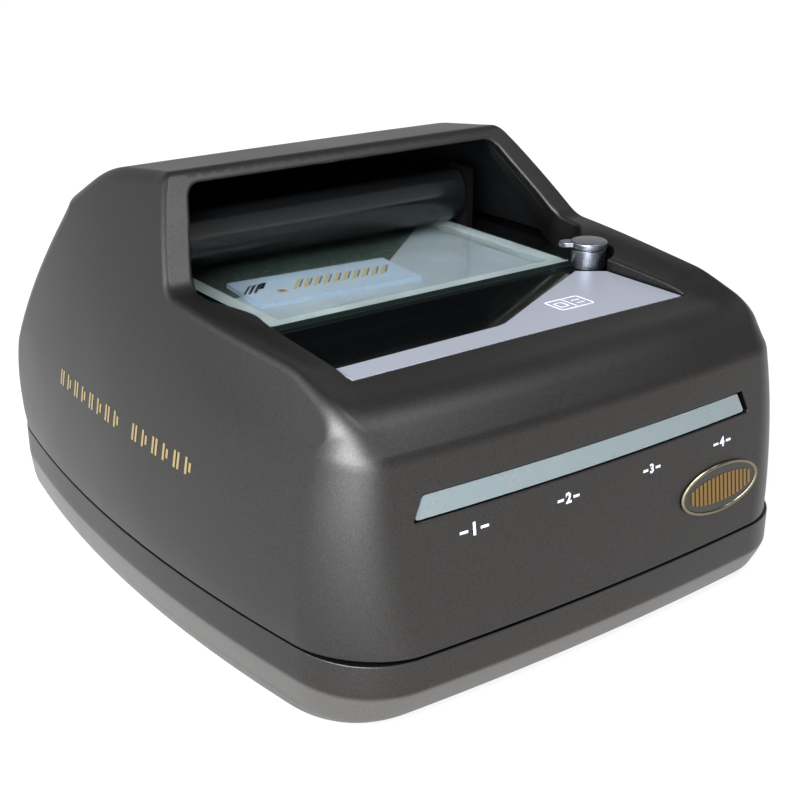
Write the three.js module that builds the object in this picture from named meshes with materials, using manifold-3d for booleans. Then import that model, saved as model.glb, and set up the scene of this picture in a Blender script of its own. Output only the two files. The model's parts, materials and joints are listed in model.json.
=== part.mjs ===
// Desktop passport scanner: a moulded case whose hood stands over a glass window in an open bay.
// Millimetres, +Z up, the front faces -Y, origin in the middle of the footprint at table height.
import * as THREE from "three";
import { mergeVertices } from "three/addons/utils/BufferGeometryUtils.js";
import Module from "manifold-3d";

const wasm = await Module();
wasm.setup();

// Driving sizes of the case.
const width = 206;
const depth = 250;
const height = 138.5;
const wall = 3;
const seamZ = 26;
const seamGap = 0.5;
const cornerRadius = 25;
const browCornerRadius = 15;
const backCornerRadius = 13;
const backCornerTopZ = 60;
const sideBow = 0.0763;
const upperSideBow = 0.069;
const bowChangeHeight = 40;
const frontBow = 0.024;
const bowHalfLength = 100;
const bowHalfWidth = 78;
const leanStartZ = 35;
const topNarrowing = 0.313;
const leanPower = 1.94;
const footNarrowing = 0.005;

// The side outline of the case, from the front of the seam over the hood to the back.
const hoodRise = 40.5;
const browDrop = 14.2;
const browSetback = 7.8;
const noseDrop = 1.2;
const noseSetback = 19.6;
const rimFrontRise = 4.7;
const rimFrontSetback = 42.7;
const rimSlope = 0.068;
const hoodFootSetback = 111.1;
const hoodLean = 0.912;
const roofBendY = 56;
const roofBendDrop = 5;
const roofBackSetback = 41;
const roofBackDrop = 19.6;
const backBendZ = 51.5;
const backBendSetback = 2.3;
const edgeRadius = 5;
const rimEdgeRadius = 2.2;
const creaseLean = 0.12;
const creaseFrontSetback = 30;
const creaseBackSetback = 105;
const rimSag = 3.6;
const rimBorder = 3.85;

// The bay, its lip and the glass; the glass takes a page 125 mm wide.
const lipSetback = 38;
const deckDrop = 1.5;
const deckThickness = 5.5;
const flangeWidth = 4.6;
const flangeDrop = 3.6;
const glassWidth = 126;
const glassDepth = 92;
const glassThickness = 2;
const glassProud = 1.7;
const glassSetback = 51;
const bayMargin = 4.5;
const labelDepth = 11.2;
const flareLength = 11;
const pillarWidth = 10;
const mouthTopDrop = 4.2;
const mouthCorner = 6;
const skirtThickness = 2.2;
const fit = 0.4;
const touchGap = 0.3;

// Base tray, feet and screws.
const baseBottomZ = 2.5;
const bandBottomZ = 14.5;
const baseSideInset = 1.8;
const baseFrontInset = 8;
const baseBackInset = 2.5;
const baseWall = 2.5;
const footRadius = 8;
const footInsetX = 27;
const footInsetY = 36;
const bossRadius = 4;
const bossInsetX = 21;
const bossInsetY = 44;
const screwRadius = 1.25;
const screwHeadRadius = 3;
const screwHeadHeight = 2.4;
const screwSeatZ = 8;
const screwLength = 14;

// Light bar, status lights and badge on the front.
const barDrop = 18.5;
const barHeight = 7.1;
const barHalf = 68;
const barSlant = 3.3;
const lightSpacing = 34.3;
const lightCount = 4;
const boardThickness = 1.6;
const badgeX = 52.6;
const badgeDrop = 21.6;
const badgeHalfWidth = 19;
const badgeHalfHeight = 8;
const badgeProud = 1.1;

// Hold-down flap in the hood.
const flapRadius = 12;
const flapThickness = 2;
const flapFromBack = 20;
const flapSideGap = 0.6;
const flapGap = 0.3;
const flapTopAngle = 146;
const flapBottomAngle = 268;
const knuckleRadius = 3.8;
const shaftRadius = 2.4;
const bracketThickness = 3;

// Turn knob beside the glass.
const knobRadius = 6.6;
const knobHeight = 9.6;
const knobOffset = 3.7;
const knobAhead = 5;
const knobTongue = 11;
const knobTongueAngle = 144;

// Optics and boards.
const boxWall = 2;
const boxFloorZ = 30;
const windowMarginX = 6.5;
const windowMarginY = 6;
const mainBoardWidth = 130;
const mainBoardDepth = 86;
const mainBoardZ = 9;
const mainBoardBackGap = 8;
const portRecess = 1.2;
const rockerTilt = 9;

const front = -depth / 2;
const back = depth / 2;
const lipZ = height - hoodRise;
const browZ = lipZ - browDrop;
const noseZ = lipZ - noseDrop;
const rimFrontZ = lipZ + rimFrontRise;
const barZ = browZ - barDrop;
const badgeZ = barZ - badgeDrop;
const lipY = front + lipSetback;
const deckZ = lipZ - deckDrop;
const glassTopZ = deckZ + glassProud;
const glassFrontY = lipY + glassSetback;
const glassBackY = glassFrontY + glassDepth;
const bayHalf = glassWidth / 2 + bayMargin;
const hoodFootY = front + hoodFootSetback;
const hoodFootZ = rimFrontZ + (hoodFootSetback - rimFrontSetback) * rimSlope;
const hoodTopY = hoodFootY + (height - hoodFootZ) * hoodLean;
const flareEndY = glassFrontY + flareLength;
const bayRearY = hoodFootY + 7;
const flapHalf = glassWidth / 2 - flapSideGap;
const flapY = glassBackY - flapFromBack;
const rad = Math.PI / 180;

const finishes = {
  shell: { color: 0x4a4845, roughness: 0.5, metalness: 0.35 },
  black: { color: 0x0c0d0f, roughness: 0.12, metalness: 0 },
  liner: { color: 0x101214, roughness: 0.35, metalness: 0 },
  glass: { color: 0xb4c2bb, roughness: 0.08, metalness: 0 },
  lightGuide: { color: 0x9aa3a6, roughness: 0.35, metalness: 0 },
  label: { color: 0x85858f, roughness: 0.5, metalness: 0 },
  steel: { color: 0xb5b8bd, roughness: 0.3, metalness: 1 },
  chrome: { color: 0xd8dadd, roughness: 0.12, metalness: 1 },
  gold: { color: 0x9a7840, roughness: 0.35, metalness: 1 },
  rubber: { color: 0x17181a, roughness: 0.9, metalness: 0 },
  board: { color: 0x1d4a35, roughness: 0.5, metalness: 0 },
  blueBoard: { color: 0x8fb0cf, roughness: 0.5, metalness: 0 },
  plastic: { color: 0x1b1c1e, roughness: 0.6, metalness: 0 },
  lamp: { color: 0xe8e2c4, roughness: 0.3, metalness: 0 },
};

const root = new THREE.Group();

function addPart(name, geometry, finish, parent = root) {
  const mesh = new THREE.Mesh(geometry, new THREE.MeshStandardMaterial(finishes[finish]));
  mesh.name = name;
  parent.add(mesh);
  return mesh;
}

// A closed geometry as a solid for joining and cutting, and back.
function solidOf(geometry) {
  const bare = geometry.clone();
  bare.deleteAttribute("normal");
  bare.deleteAttribute("uv");
  const merged = mergeVertices(bare, 1e-4);
  return new wasm.Manifold(
    new wasm.Mesh({
      numProp: 3,
      vertProperties: new Float32Array(merged.attributes.position.array),
      triVerts: new Uint32Array(merged.index.array),
    }),
  );
}

function geometryOf(solid) {
  const mesh = solid.getMesh();
  const geometry = new THREE.BufferGeometry();
  geometry.setAttribute("position", new THREE.BufferAttribute(mesh.vertProperties, 3));
  geometry.setIndex(new THREE.BufferAttribute(mesh.triVerts, 1));
  geometry.computeVertexNormals();
  return geometry;
}

// Boxes, cylinders and prisms, placed by their limits.
function box(x0, x1, y0, y1, z0, z1) {
  const geometry = new THREE.BoxGeometry(x1 - x0, y1 - y0, z1 - z0);
  return geometry.translate((x0 + x1) / 2, (y0 + y1) / 2, (z0 + z1) / 2);
}

function cylinderZ(radius, x, y, z0, z1, sides = 24) {
  const geometry = new THREE.CylinderGeometry(radius, radius, z1 - z0, sides);
  return geometry.rotateX(Math.PI / 2).translate(x, y, (z0 + z1) / 2);
}

function cylinderX(radius, y, z, x0, x1, sides = 24) {
  const geometry = new THREE.CylinderGeometry(radius, radius, x1 - x0, sides);
  return geometry.rotateZ(Math.PI / 2).translate((x0 + x1) / 2, y, z);
}

function cylinderY(radius, x, z, y0, y1, sides = 24) {
  return new THREE.CylinderGeometry(radius, radius, y1 - y0, sides).translate(x, (y0 + y1) / 2, z);
}

function extruded(points, length) {
  const shape = new THREE.Shape(points.map(([a, b]) => new THREE.Vector2(a, b)));
  return new THREE.ExtrudeGeometry(shape, { depth: length, bevelEnabled: false });
}

function prismZ(points, z0, z1) {
  return extruded(points, z1 - z0).translate(0, 0, z0);
}

// Points are (x, z) pairs.
function prismY(points, y0, y1) {
  return extruded(points, y1 - y0).rotateX(Math.PI / 2).translate(0, y1, 0);
}

// Points are (y, z) pairs.
function prismX(points, x0, x1) {
  const turn = new THREE.Matrix4().makeBasis(
    new THREE.Vector3(0, 1, 0),
    new THREE.Vector3(0, 0, 1),
    new THREE.Vector3(1, 0, 0),
  );
  return extruded(points, x1 - x0).applyMatrix4(turn).translate(x0, 0, 0);
}

function join(...geometries) {
  return geometries.map(solidOf).reduce((all, one) => all.add(one));
}

// A closed surface through rings of equal point count, with a fan over the first and the last.
function loft(rings) {
  const count = rings[0].length;
  const positions = rings.flat().flat();
  const index = [];
  for (let k = 0; k < rings.length - 1; k++) {
    for (let i = 0; i < count; i++) {
      const j = (i + 1) % count;
      const a = k * count + i;
      const b = k * count + j;
      const c = (k + 1) * count + j;
      const d = (k + 1) * count + i;
      index.push(a, b, c, a, c, d);
    }
  }
  for (const [ring, offset, turn] of [
    [rings[0], 0, 1],
    [rings[rings.length - 1], (rings.length - 1) * count, 0],
  ]) {
    const centre = [0, 1, 2].map((axis) => ring.reduce((sum, p) => sum + p[axis], 0) / count);
    const hub = positions.length / 3;
    positions.push(...centre);
    for (let i = 0; i < count; i++) {
      const j = (i + 1) % count;
      if (turn) index.push(hub, offset + j, offset + i);
      else index.push(hub, offset + i, offset + j);
    }
  }
  const geometry = new THREE.BufferGeometry();
  geometry.setAttribute("position", new THREE.Float32BufferAttribute(positions, 3));
  geometry.setIndex(signedVolume(positions, index) < 0 ? index.reverse() : index);
  return geometry;
}

function signedVolume(positions, index) {
  const at = (i) => new THREE.Vector3().fromArray(positions, 3 * i);
  let total = 0;
  for (let i = 0; i < index.length; i += 3) {
    total += at(index[i]).dot(at(index[i + 1]).cross(at(index[i + 2])));
  }
  return total;
}

// A polygon whose corners are rounded: each corner is [a, b, radius].
function rounded(corners, steps = 4, closed = true) {
  const points = [];
  const count = corners.length;
  for (let i = 0; i < count; i++) {
    const [a, b, radius] = corners[i];
    if (!radius || (!closed && (i === 0 || i === count - 1))) {
      points.push([a, b]);
      continue;
    }
    const [pa, pb] = corners[(i + count - 1) % count];
    const [na, nb] = corners[(i + 1) % count];
    const before = Math.hypot(pa - a, pb - b);
    const after = Math.hypot(na - a, nb - b);
    const u = [(pa - a) / before, (pb - b) / before];
    const v = [(na - a) / after, (nb - b) / after];
    const half = Math.acos(Math.max(-1, Math.min(1, u[0] * v[0] + u[1] * v[1]))) / 2;
    const reach = Math.min(radius / Math.tan(half), before * 0.45, after * 0.45);
    for (let k = 0; k <= steps; k++) {
      const t = k / steps;
      const p = (1 - t) * (1 - t);
      const q = 2 * t * (1 - t);
      const r = t * t;
      points.push([
        a * (p + q + r) + reach * (u[0] * p + v[0] * r),
        b * (p + q + r) + reach * (u[1] * p + v[1] * r),
      ]);
    }
  }
  return points;
}

// Half width of the case at a height.
function halfWidth(z) {
  const up = Math.max(0, (z - leanStartZ) / (height - leanStartZ));
  const down = Math.max(0, (leanStartZ - z) / (leanStartZ - seamZ));
  return (width / 2) * (1 - topNarrowing * up ** leanPower - footNarrowing * Math.min(1, down) ** 2);
}

// The side outline's corners, moved inward by an inset, as [y, z, radius].
function outlineCorners(inset) {
  const corners = [
    [front, seamZ, 0],
    [front + browSetback, browZ, 7],
    [front + noseSetback, noseZ, 32],
    [front + rimFrontSetback, rimFrontZ, 40],
    [hoodFootY, hoodFootZ, 12],
    [hoodTopY, height, 5],
    [roofBendY, height - roofBendDrop, 60],
    [back - roofBackSetback, height - roofBackDrop, 10],
    [back - backBendSetback, backBendZ, 70],
    [back, seamZ, 0],
  ];
  if (inset === 0) return corners;
  const lines = [];
  for (let i = 0; i < corners.length - 1; i++) {
    const [y0, z0] = corners[i];
    const [y1, z1] = corners[i + 1];
    const length = Math.hypot(y1 - y0, z1 - z0);
    const normal = [(z1 - z0) / length, -(y1 - y0) / length];
    lines.push({ y: y0 + normal[0] * inset, z: z0 + normal[1] * inset, dy: y1 - y0, dz: z1 - z0 });
  }
  const moved = [onLine(lines[0], seamZ)];
  for (let i = 1; i < lines.length; i++) {
    const concave = i === 4;
    const radius = Math.max(0.5, corners[i][2] + (concave ? inset : -inset));
    moved.push([...crossing(lines[i - 1], lines[i]), radius]);
  }
  moved.push(onLine(lines[lines.length - 1], seamZ));
  return moved;
}

function onLine(line, z) {
  return [line.y + (line.dy * (z - line.z)) / line.dz, z, 0];
}

function crossing(p, q) {
  const det = p.dy * q.dz - p.dz * q.dy;
  const t = ((q.y - p.y) * q.dz - (q.z - p.z) * q.dy) / det;
  return [p.y + p.dy * t, p.z + p.dz * t];
}

// Where the sloping back stands at a height.
function backAt(z) {
  const share = (z - backBendZ) / (height - roofBackDrop - backBendZ);
  return back - backBendSetback + share * (backBendSetback - roofBackSetback);
}

function smooth(from, to, value) {
  const t = Math.max(0, Math.min(1, (value - from) / (to - from)));
  return t * t * (3 - 2 * t);
}

// The whole case above the seam as one closed body, its walls moved inward by an inset.
function envelope(inset, bottomZ, roundness = 4) {
  const sideCorners = outlineCorners(inset);
  const upper = rounded(sideCorners, roundness, false);
  const first = upper[0];
  const last = upper[upper.length - 1];
  const bottom = [];
  for (const t of [0, 0.25, 0.5, 0.75, 1]) {
    bottom.push([last[0] + (first[0] - last[0]) * t, bottomZ]);
  }
  const side = bottomZ < seamZ ? [...upper, ...bottom] : [...upper, ...bottom.slice(1, -1)];
  const points = side.map(([y, z]) => profilePoint(y, z, inset));
  const half = width / 2;
  const stations = [0, 0.45 * half, half - cornerRadius];
  for (const angle of [20, 38, 54, 66, 76, 84, 90]) {
    stations.push(half - cornerRadius + cornerRadius * Math.sin(angle * rad));
  }
  const halfRings = stations.map((x) => points.map((p) => placed(p, x, inset)));
  const hub = [10, 60];
  const edge = points.map((p) => insetPoint(p, half));
  for (const share of [0.75, 0.5, 0.25]) {
    halfRings.push(
      edge.map(([y, z]) => caseSurface(half, hub[0] + (y - hub[0]) * share, hub[1] + (z - hub[1]) * share, inset)),
    );
  }
  const left = halfRings.slice(1).reverse();
  const mirrored = left.map((ring) => ring.map(([x, y, z]) => [-x, y, z]));
  return solidOf(loft([...mirrored, ...halfRings]));
}

// How a point of the side outline draws in where the case rounds over to its sides.
function profilePoint(y, z, inset) {
  const frontShare = 1 - smooth(browZ, rimFrontZ, z);
  const backShare = 1 - smooth(height - roofBackDrop - 6, height - 6, z);
  const upright = y < 0 ? frontShare : backShare;
  const narrowTopZ = y < 0 ? browZ : backCornerTopZ;
  const narrowRadius = y < 0 ? browCornerRadius : backCornerRadius;
  const rise = Math.max(0, Math.min(1, (z - seamZ) / (narrowTopZ - seamZ)));
  const full = cornerRadius + (narrowRadius - cornerRadius) * rise;
  const edge = rimEdgeRadius + (edgeRadius - rimEdgeRadius) * smooth(hoodTopY - 6, hoodTopY + 8, y);
  const radius = Math.max(0.6, edge + (full - edge) * upright - inset);
  const inwardY = y < 0 ? 1 : -1;
  const overRim = smooth(front + browSetback, lipY, y) * (1 - smooth(glassFrontY - 11, hoodFootY - 7, y));
  const atSeam = z <= seamZ + 0.01;
  return { y, z, radius, inward: [inwardY * upright, atSeam ? 0 : upright - 1], sag: z > browZ ? overRim : 0 };
}

function insetPoint({ y, z, radius, inward }, x) {
  const over = Math.min(1, Math.max(0, x - (width / 2 - radius)) / radius);
  const drawn = radius * (1 - Math.sqrt(1 - over * over));
  return [y + inward[0] * drawn, z + inward[1] * drawn];
}

function placed(point, x, inset) {
  const [y, z] = insetPoint(point, x);
  const rimScale = (halfWidth(rimFrontZ) / (width / 2)) * (1 - upperSideBow * (y / bowHalfLength) ** 2);
  const rimShare = 1 - smooth(bayHalf, halfWidth(rimFrontZ) - rimBorder, x * rimScale);
  return caseSurface(x, y, z - rimSag * point.sag * rimShare, inset);
}

// How far the sides lean in above the brow's crease, which fades towards the hood.
function creasePush(y, z) {
  return creaseLean * Math.max(0, z - browZ) * (1 - smooth(front + creaseFrontSetback, front + creaseBackSetback, y));
}

function caseSurface(x, y, z, inset) {
  const share = x / (width / 2);
  const bowRise = Math.max(0, Math.min(1, (z - seamZ) / bowChangeHeight));
  const bow = sideBow + (upperSideBow - sideBow) * bowRise;
  const px = share * (halfWidth(z) - creasePush(y, z) - inset) * (1 - bow * (y / bowHalfLength) ** 2);
  return [px, y * (1 - frontBow * (px / bowHalfWidth) ** 2), z];
}

// The hood's mouth, as seen from the front, and the bay's plan.
function mouthOutline(clearance) {
  const topZ = height - mouthTopDrop - clearance;
  const at = (z) => halfWidth(z) - pillarWidth - clearance;
  const low = lipZ - 8;
  const right = [0, 0.34, 0.61, 0.81].map((share) => low + share * (topZ - low)).map((z) => [at(z), z, 0]);
  right.push([at(topZ) + 0.8, topZ, mouthCorner]);
  const left = [...right].reverse().map(([x, z, r]) => [-x, z, r]);
  return rounded([...right, ...left], 4);
}

function bayOutline(grow, rearY) {
  const mouthHalf = halfWidth(rimFrontZ + 4) - pillarWidth + grow;
  const narrow = bayHalf + grow;
  const right = [
    [narrow, lipY - grow],
    [narrow, glassFrontY],
    [mouthHalf, flareEndY],
    [mouthHalf, rearY],
  ];
  return [...right, ...[...right].reverse().map(([x, y]) => [-x, y])];
}

function ellipse(cx, cz, a, b, sides = 32) {
  return Array.from({ length: sides }, (_, i) => {
    const angle = (i / sides) * 2 * Math.PI;
    return [cx + a * Math.cos(angle), cz + b * Math.sin(angle)];
  });
}

function barOutline(grow) {
  return [
    [-barHalf - grow, barZ - grow],
    [barHalf + grow, barZ - grow],
    [barHalf - barSlant + grow, barZ + barHeight + grow],
    [-barHalf + barSlant - grow, barZ + barHeight + grow],
  ];
}

const knobX = glassWidth / 2 + knobOffset;
const knobY = glassFrontY - knobAhead;
const bossX = width / 2 - bossInsetX;
const bossY = depth / 2 - bossInsetY;
const bossTopZ = seamZ + 34;
const bossPlaces = [
  [-bossX, -bossY],
  [bossX, -bossY],
  [-bossX, bossY],
  [bossX, bossY],
];
const cornerNames = ["front_left", "front_right", "rear_left", "rear_right"];

function upperShell(outer) {
  const inner = envelope(wall, seamZ - 6);
  let shell = outer.subtract(inner);
  const skirt = solidOf(prismZ(bayOutline(skirtThickness, flareEndY), deckZ + fit, lipZ + 12))
    .subtract(solidOf(prismZ(bayOutline(0, bayRearY), deckZ - 1, lipZ + 14)));
  shell = shell.add(skirt.intersect(envelope(1, seamZ - 6)));
  const inside = envelope(1, seamZ - 6);
  for (const [x, y] of bossPlaces) {
    const side = Math.sign(x);
    const rib = [x, side * width * 0.5].sort((p, q) => p - q);
    const web = box(rib[0], rib[1], y - 1.2, y + 1.2, seamZ + 4, bossTopZ);
    const post = solidOf(cylinderZ(bossRadius, x, y, screwSeatZ + 2 + touchGap, bossTopZ, 16));
    const hole = cylinderZ(screwRadius + 0.2, x, y, 0, screwSeatZ + screwLength + 2, 12);
    shell = shell.add(post.add(solidOf(web).intersect(inside))).subtract(solidOf(hole));
  }
  const cuts = join(
    prismZ(bayOutline(0, bayRearY), deckZ - 12, rimFrontZ + 5),
    prismY(mouthOutline(0), flareEndY, hoodTopY + 11),
    prismY(barOutline(fit), front - 5, front + 24),
    cylinderZ(knobRadius + 2.2, knobX, knobY, deckZ - 1, lipZ + 14, 32),
  );
  return geometryOf(shell.subtract(cuts));
}

// One level of the base tray, its sides, front and back drawn in.
function planRing(z, side, frontIn, backIn) {
  const half = halfWidth(seamZ) - side;
  const y0 = front + frontIn;
  const y1 = back - backIn;
  const radius = cornerRadius - Math.min(side, 4);
  const corners = rounded(
    [
      [half, y0, radius],
      [half, (y0 + y1) / 2, 0],
      [half, y1, radius],
      [0, y1, 0],
      [-half, y1, radius],
      [-half, (y0 + y1) / 2, 0],
      [-half, y0, radius],
      [0, y0, 0],
    ],
    7,
  );
  return densified(corners, 24).map(([x, y]) => {
    const px = x * (1 - sideBow * (y / bowHalfLength) ** 2);
    return [px, y * (1 - frontBow * (px / bowHalfWidth) ** 2), z];
  });
}

function densified(points, longest) {
  const out = [];
  points.forEach(([a, b], i) => {
    const [c, d] = points[(i + 1) % points.length];
    const parts = Math.abs(c - a) < 1 || Math.abs(d - b) < 1 ? 3 : 1;
    const pieces = Math.hypot(c - a, d - b) > longest ? parts : 1;
    for (let k = 0; k < pieces; k++) {
      out.push([a + ((c - a) * k) / pieces, b + ((d - b) * k) / pieces]);
    }
  });
  return out;
}

const portZ = mainBoardZ + boardThickness;
const portFaceY = back - portRecess;
const ports = {
  usb: { x: -34, width: 12, height: 11, depth: 16 },
  power: { x: -6, width: 9, height: 10.6, depth: 14 },
  rocker: { x: 34, width: 14, height: 9, depth: 12 },
};

function portCut({ x, width: w, height: h }) {
  return box(x - w / 2 - fit, x + w / 2 + fit, back - 24, back + 4, portZ - 0.3, portZ + h + fit);
}

function baseShell() {
  const top = seamZ - seamGap;
  const outer = loft([
    planRing(baseBottomZ, baseSideInset, baseFrontInset, baseBackInset),
    planRing(baseBottomZ + 3, baseSideInset * 0.6, baseFrontInset * 0.62, baseBackInset * 0.6),
    planRing(bandBottomZ - 4, baseSideInset * 0.24, baseFrontInset * 0.24, baseBackInset * 0.24),
    planRing(bandBottomZ, 0, 0, 0),
    planRing(top, 0, 0, 0),
  ]);
  const inner = loft([
    planRing(baseBottomZ + baseWall, baseSideInset + baseWall, baseFrontInset + baseWall, baseBackInset + baseWall),
    planRing(bandBottomZ, baseWall, baseWall, baseWall),
    planRing(top + 1, baseWall, baseWall, baseWall),
  ]);
  let tray = solidOf(outer).subtract(solidOf(inner));
  for (const [x, y] of bossPlaces) {
    const seat = cylinderZ(bossRadius + 2, x, y, baseBottomZ + 1, screwSeatZ + 2, 20);
    const well = cylinderZ(screwHeadRadius + 0.5, x, y, 0, screwSeatZ, 20);
    const hole = cylinderZ(screwRadius + 0.4, x, y, 0, screwSeatZ + 6, 16);
    tray = tray.add(solidOf(seat)).subtract(join(well, hole));
  }
  for (const [x, y] of mainBoardPosts) {
    tray = tray.add(solidOf(cylinderZ(3, x, y, baseBottomZ + 1, mainBoardZ, 12)));
  }
  return geometryOf(tray.subtract(join(...Object.values(ports).map(portCut))));
}

const mainBoardBackY = back - baseWall - mainBoardBackGap;
const mainBoardPosts = [-1, 1].flatMap((sx) =>
  [6, mainBoardDepth - 6].map((y) => [sx * (mainBoardWidth / 2 - 6), mainBoardBackY - y]),
);

// The black tub inside the hood.
function hoodLiner() {
  const skin = envelope(wall + 0.8, seamZ - 6, 3).subtract(envelope(wall + 2.6, seamZ - 6, 3));
  const kept = box(-width, width, hoodFootY + 2, back, deckZ + 0.7, height);
  const liner = skin.intersect(solidOf(kept));
  return geometryOf(liner.subtract(solidOf(prismY(mouthOutline(0.5), glassFrontY - 11, hoodTopY + 17))));
}

// The black floor of the bay, with the hole that the glass lies in.
function deckPanel() {
  const rear = backAt(deckZ) - wall - 6;
  const hoodHalf = halfWidth(deckZ) - 13;
  const rearPlan = rounded(
    [
      [hoodHalf, flareEndY + 6, 0],
      [hoodHalf, rear, 24],
      [-hoodHalf, rear, 24],
      [-hoodHalf, flareEndY + 6, 0],
    ],
    4,
  );
  const bottom = deckZ - deckThickness;
  const flangeTop = deckZ - flangeDrop;
  const slab = join(
    prismZ(bayOutline(-fit, flareEndY + 10), bottom, deckZ),
    prismZ(rearPlan, bottom, deckZ),
    prismZ(bayOutline(flangeWidth - fit, flareEndY + 8), bottom, flangeTop),
  );
  const hole = box(
    -glassWidth / 2 - fit, glassWidth / 2 + fit, glassFrontY - fit, glassBackY + fit, bottom - 1, deckZ + 1,
  );
  return geometryOf(slab.subtract(solidOf(hole)));
}

// The grey plate on the deck: its rear edge sweeps from the lip up to the knob.
function deckLabel() {
  const half = bayHalf - 1;
  const plan = [
    [-half, lipY + 0.8],
    [half, lipY + 0.8],
    [half, knobY - knobRadius - 3.4],
    [knobX - knobRadius - 2.6, knobY - 3.2],
    [4.9, lipY + 16],
    [-5, lipY + labelDepth + 0.5],
    [-half, lipY + labelDepth],
  ];
  return prismZ(plan, deckZ, deckZ + 0.5);
}

function scanGlass() {
  return box(-glassWidth / 2, glassWidth / 2, glassFrontY, glassBackY, glassTopZ - glassThickness, glassTopZ);
}

const glassBottomZ = glassTopZ - glassThickness;
const windowHalf = glassWidth / 2 - windowMarginX;
const windowFrontY = glassFrontY + windowMarginY;
const windowBackY = glassBackY - windowMarginY;
const frameBottomZ = deckZ - deckThickness - 2.6;

// The frame under the glass: a plate below the deck and a ledge that rises inside its hole.
function glassFrame() {
  const plateTop = deckZ - deckThickness - 0.2;
  const half = glassWidth / 2;
  const plate = box(
    -half - frameMargin, half + frameMargin, glassFrontY - frameMargin, glassBackY + frameMargin, frameBottomZ, plateTop,
  );
  const ledge = box(-half, half, glassFrontY, glassBackY, plateTop - 0.5, glassBottomZ);
  const window = box(-windowHalf, windowHalf, windowFrontY, windowBackY, frameBottomZ - 1, glassTopZ);
  return geometryOf(join(plate, ledge).subtract(solidOf(window)));
}

// A small block that holds the left edge of the glass.
function glassClip() {
  return box(-bayHalf + 1, -glassWidth / 2 - 0.6, glassFrontY + 4, glassFrontY + 8.5, deckZ, glassTopZ + 0.8);
}

function knobLatch() {
  const bottom = deckZ + 0.1;
  const top = deckZ + knobHeight;
  const profile = [
    [0, bottom],
    [knobRadius - 0.4, bottom],
    [knobRadius - 0.4, top - 2.6],
    [knobRadius, top - 2.2],
    [knobRadius, top - 0.6],
    [knobRadius - 0.6, top],
    [0, top],
  ].map(([r, z]) => new THREE.Vector2(r, z));
  const body = new THREE.LatheGeometry(profile, 36).rotateX(Math.PI / 2);
  const tongue = box(0, knobTongue, -2.6, 2.6, top - 2.2, top - 0.5).rotateZ(knobTongueAngle * rad);
  return geometryOf(join(body, tongue)).translate(knobX, knobY, 0);
}

const flapZ = glassTopZ + flapGap + flapRadius;
const knuckleY = flapY + (flapRadius - knuckleRadius - 0.1) * Math.cos(135.5 * rad);
const knuckleZ = flapZ + (flapRadius - knuckleRadius - 0.1) * Math.sin(135.5 * rad);

// The hold-down flap: a part of a tube wall that hangs from a knuckle at its top edge.
function pressFlap() {
  const inner = flapRadius - flapThickness;
  const steps = 18;
  const outline = [];
  for (let i = 0; i <= steps; i++) {
    const angle = (flapTopAngle + ((flapBottomAngle - flapTopAngle) * i) / steps) * rad;
    outline.push([flapY + flapRadius * Math.cos(angle), flapZ + flapRadius * Math.sin(angle)]);
  }
  for (let i = steps; i >= 0; i--) {
    const angle = (flapTopAngle + ((flapBottomAngle - flapTopAngle) * i) / steps) * rad;
    outline.push([flapY + inner * Math.cos(angle), flapZ + inner * Math.sin(angle)]);
  }
  const knuckle = cylinderX(knuckleRadius, knuckleY, knuckleZ, -flapHalf, flapHalf);
  const bore = cylinderX(shaftRadius + 0.4, knuckleY, knuckleZ, -flapHalf - 1, flapHalf + 1);
  return geometryOf(join(prismX(outline, -flapHalf, flapHalf), knuckle).subtract(solidOf(bore)));
}

const bracketInnerX = flapHalf + 2 * flapSideGap;

function flapShaft() {
  const reach = bracketInnerX + bracketThickness + 1.5;
  return cylinderX(shaftRadius, knuckleY, knuckleZ, -reach, reach);
}

// A cheek that carries one end of the flap's shaft and stands on the frame of the deck.
function flapBracket(side) {
  const near = bracketInnerX;
  const far = bracketInnerX + bracketThickness;
  const cheek = rounded(
    [
      [knuckleY - 5.5, deckZ],
      [knuckleY + 14, deckZ],
      [knuckleY + 6, knuckleZ + 5, 4],
      [knuckleY - 5.5, knuckleZ + 5, 4],
    ].map(([y, z, r]) => [y, z, r || 0]),
    4,
  );
  const plate = prismX(cheek, Math.min(side * near, side * far), Math.max(side * near, side * far));
  const hole = cylinderX(shaftRadius + 0.3, knuckleY, knuckleZ, side * (near + far) / 2 - 4, side * (near + far) / 2 + 4);
  return geometryOf(solidOf(plate).subtract(solidOf(hole)));
}

// A patch of the front skin between two depths, cut out by a shape drawn from the front.
function frontPatch(shape, outerInset, innerInset) {
  const skin = envelope(outerInset, seamZ - 6).subtract(envelope(innerInset, seamZ - 6));
  return skin.intersect(solidOf(prismY(shape, front - 6, front + 30)));
}

const lightBoardY = front + 14.4;
const lightDepth = 1.8;

function lightX(index) {
  return (index - (lightCount - 1) / 2) * lightSpacing;
}

// The milky bar, with a stub behind it that brings the light of each lamp forward.
function lightBar() {
  let bar = frontPatch(barOutline(0), -0.2, wall - 0.2);
  for (let i = 0; i < lightCount; i++) {
    const x = lightX(i);
    const tip = lightBoardY - lightDepth - touchGap;
    bar = bar.add(solidOf(box(x - 2.5, x + 2.5, lightBoardY - 6.4, tip, barZ + 2, barZ + 5)));
  }
  return geometryOf(bar);
}

function statusBoard() {
  const half = barHalf - 6;
  return box(-half, half, lightBoardY, lightBoardY + boardThickness, barZ - 5, barZ + barHeight + 4);
}

function statusLight(index) {
  const x = lightX(index);
  return box(x - 2.5, x + 2.5, lightBoardY - lightDepth, lightBoardY, barZ + 2, barZ + 5);
}

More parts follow.
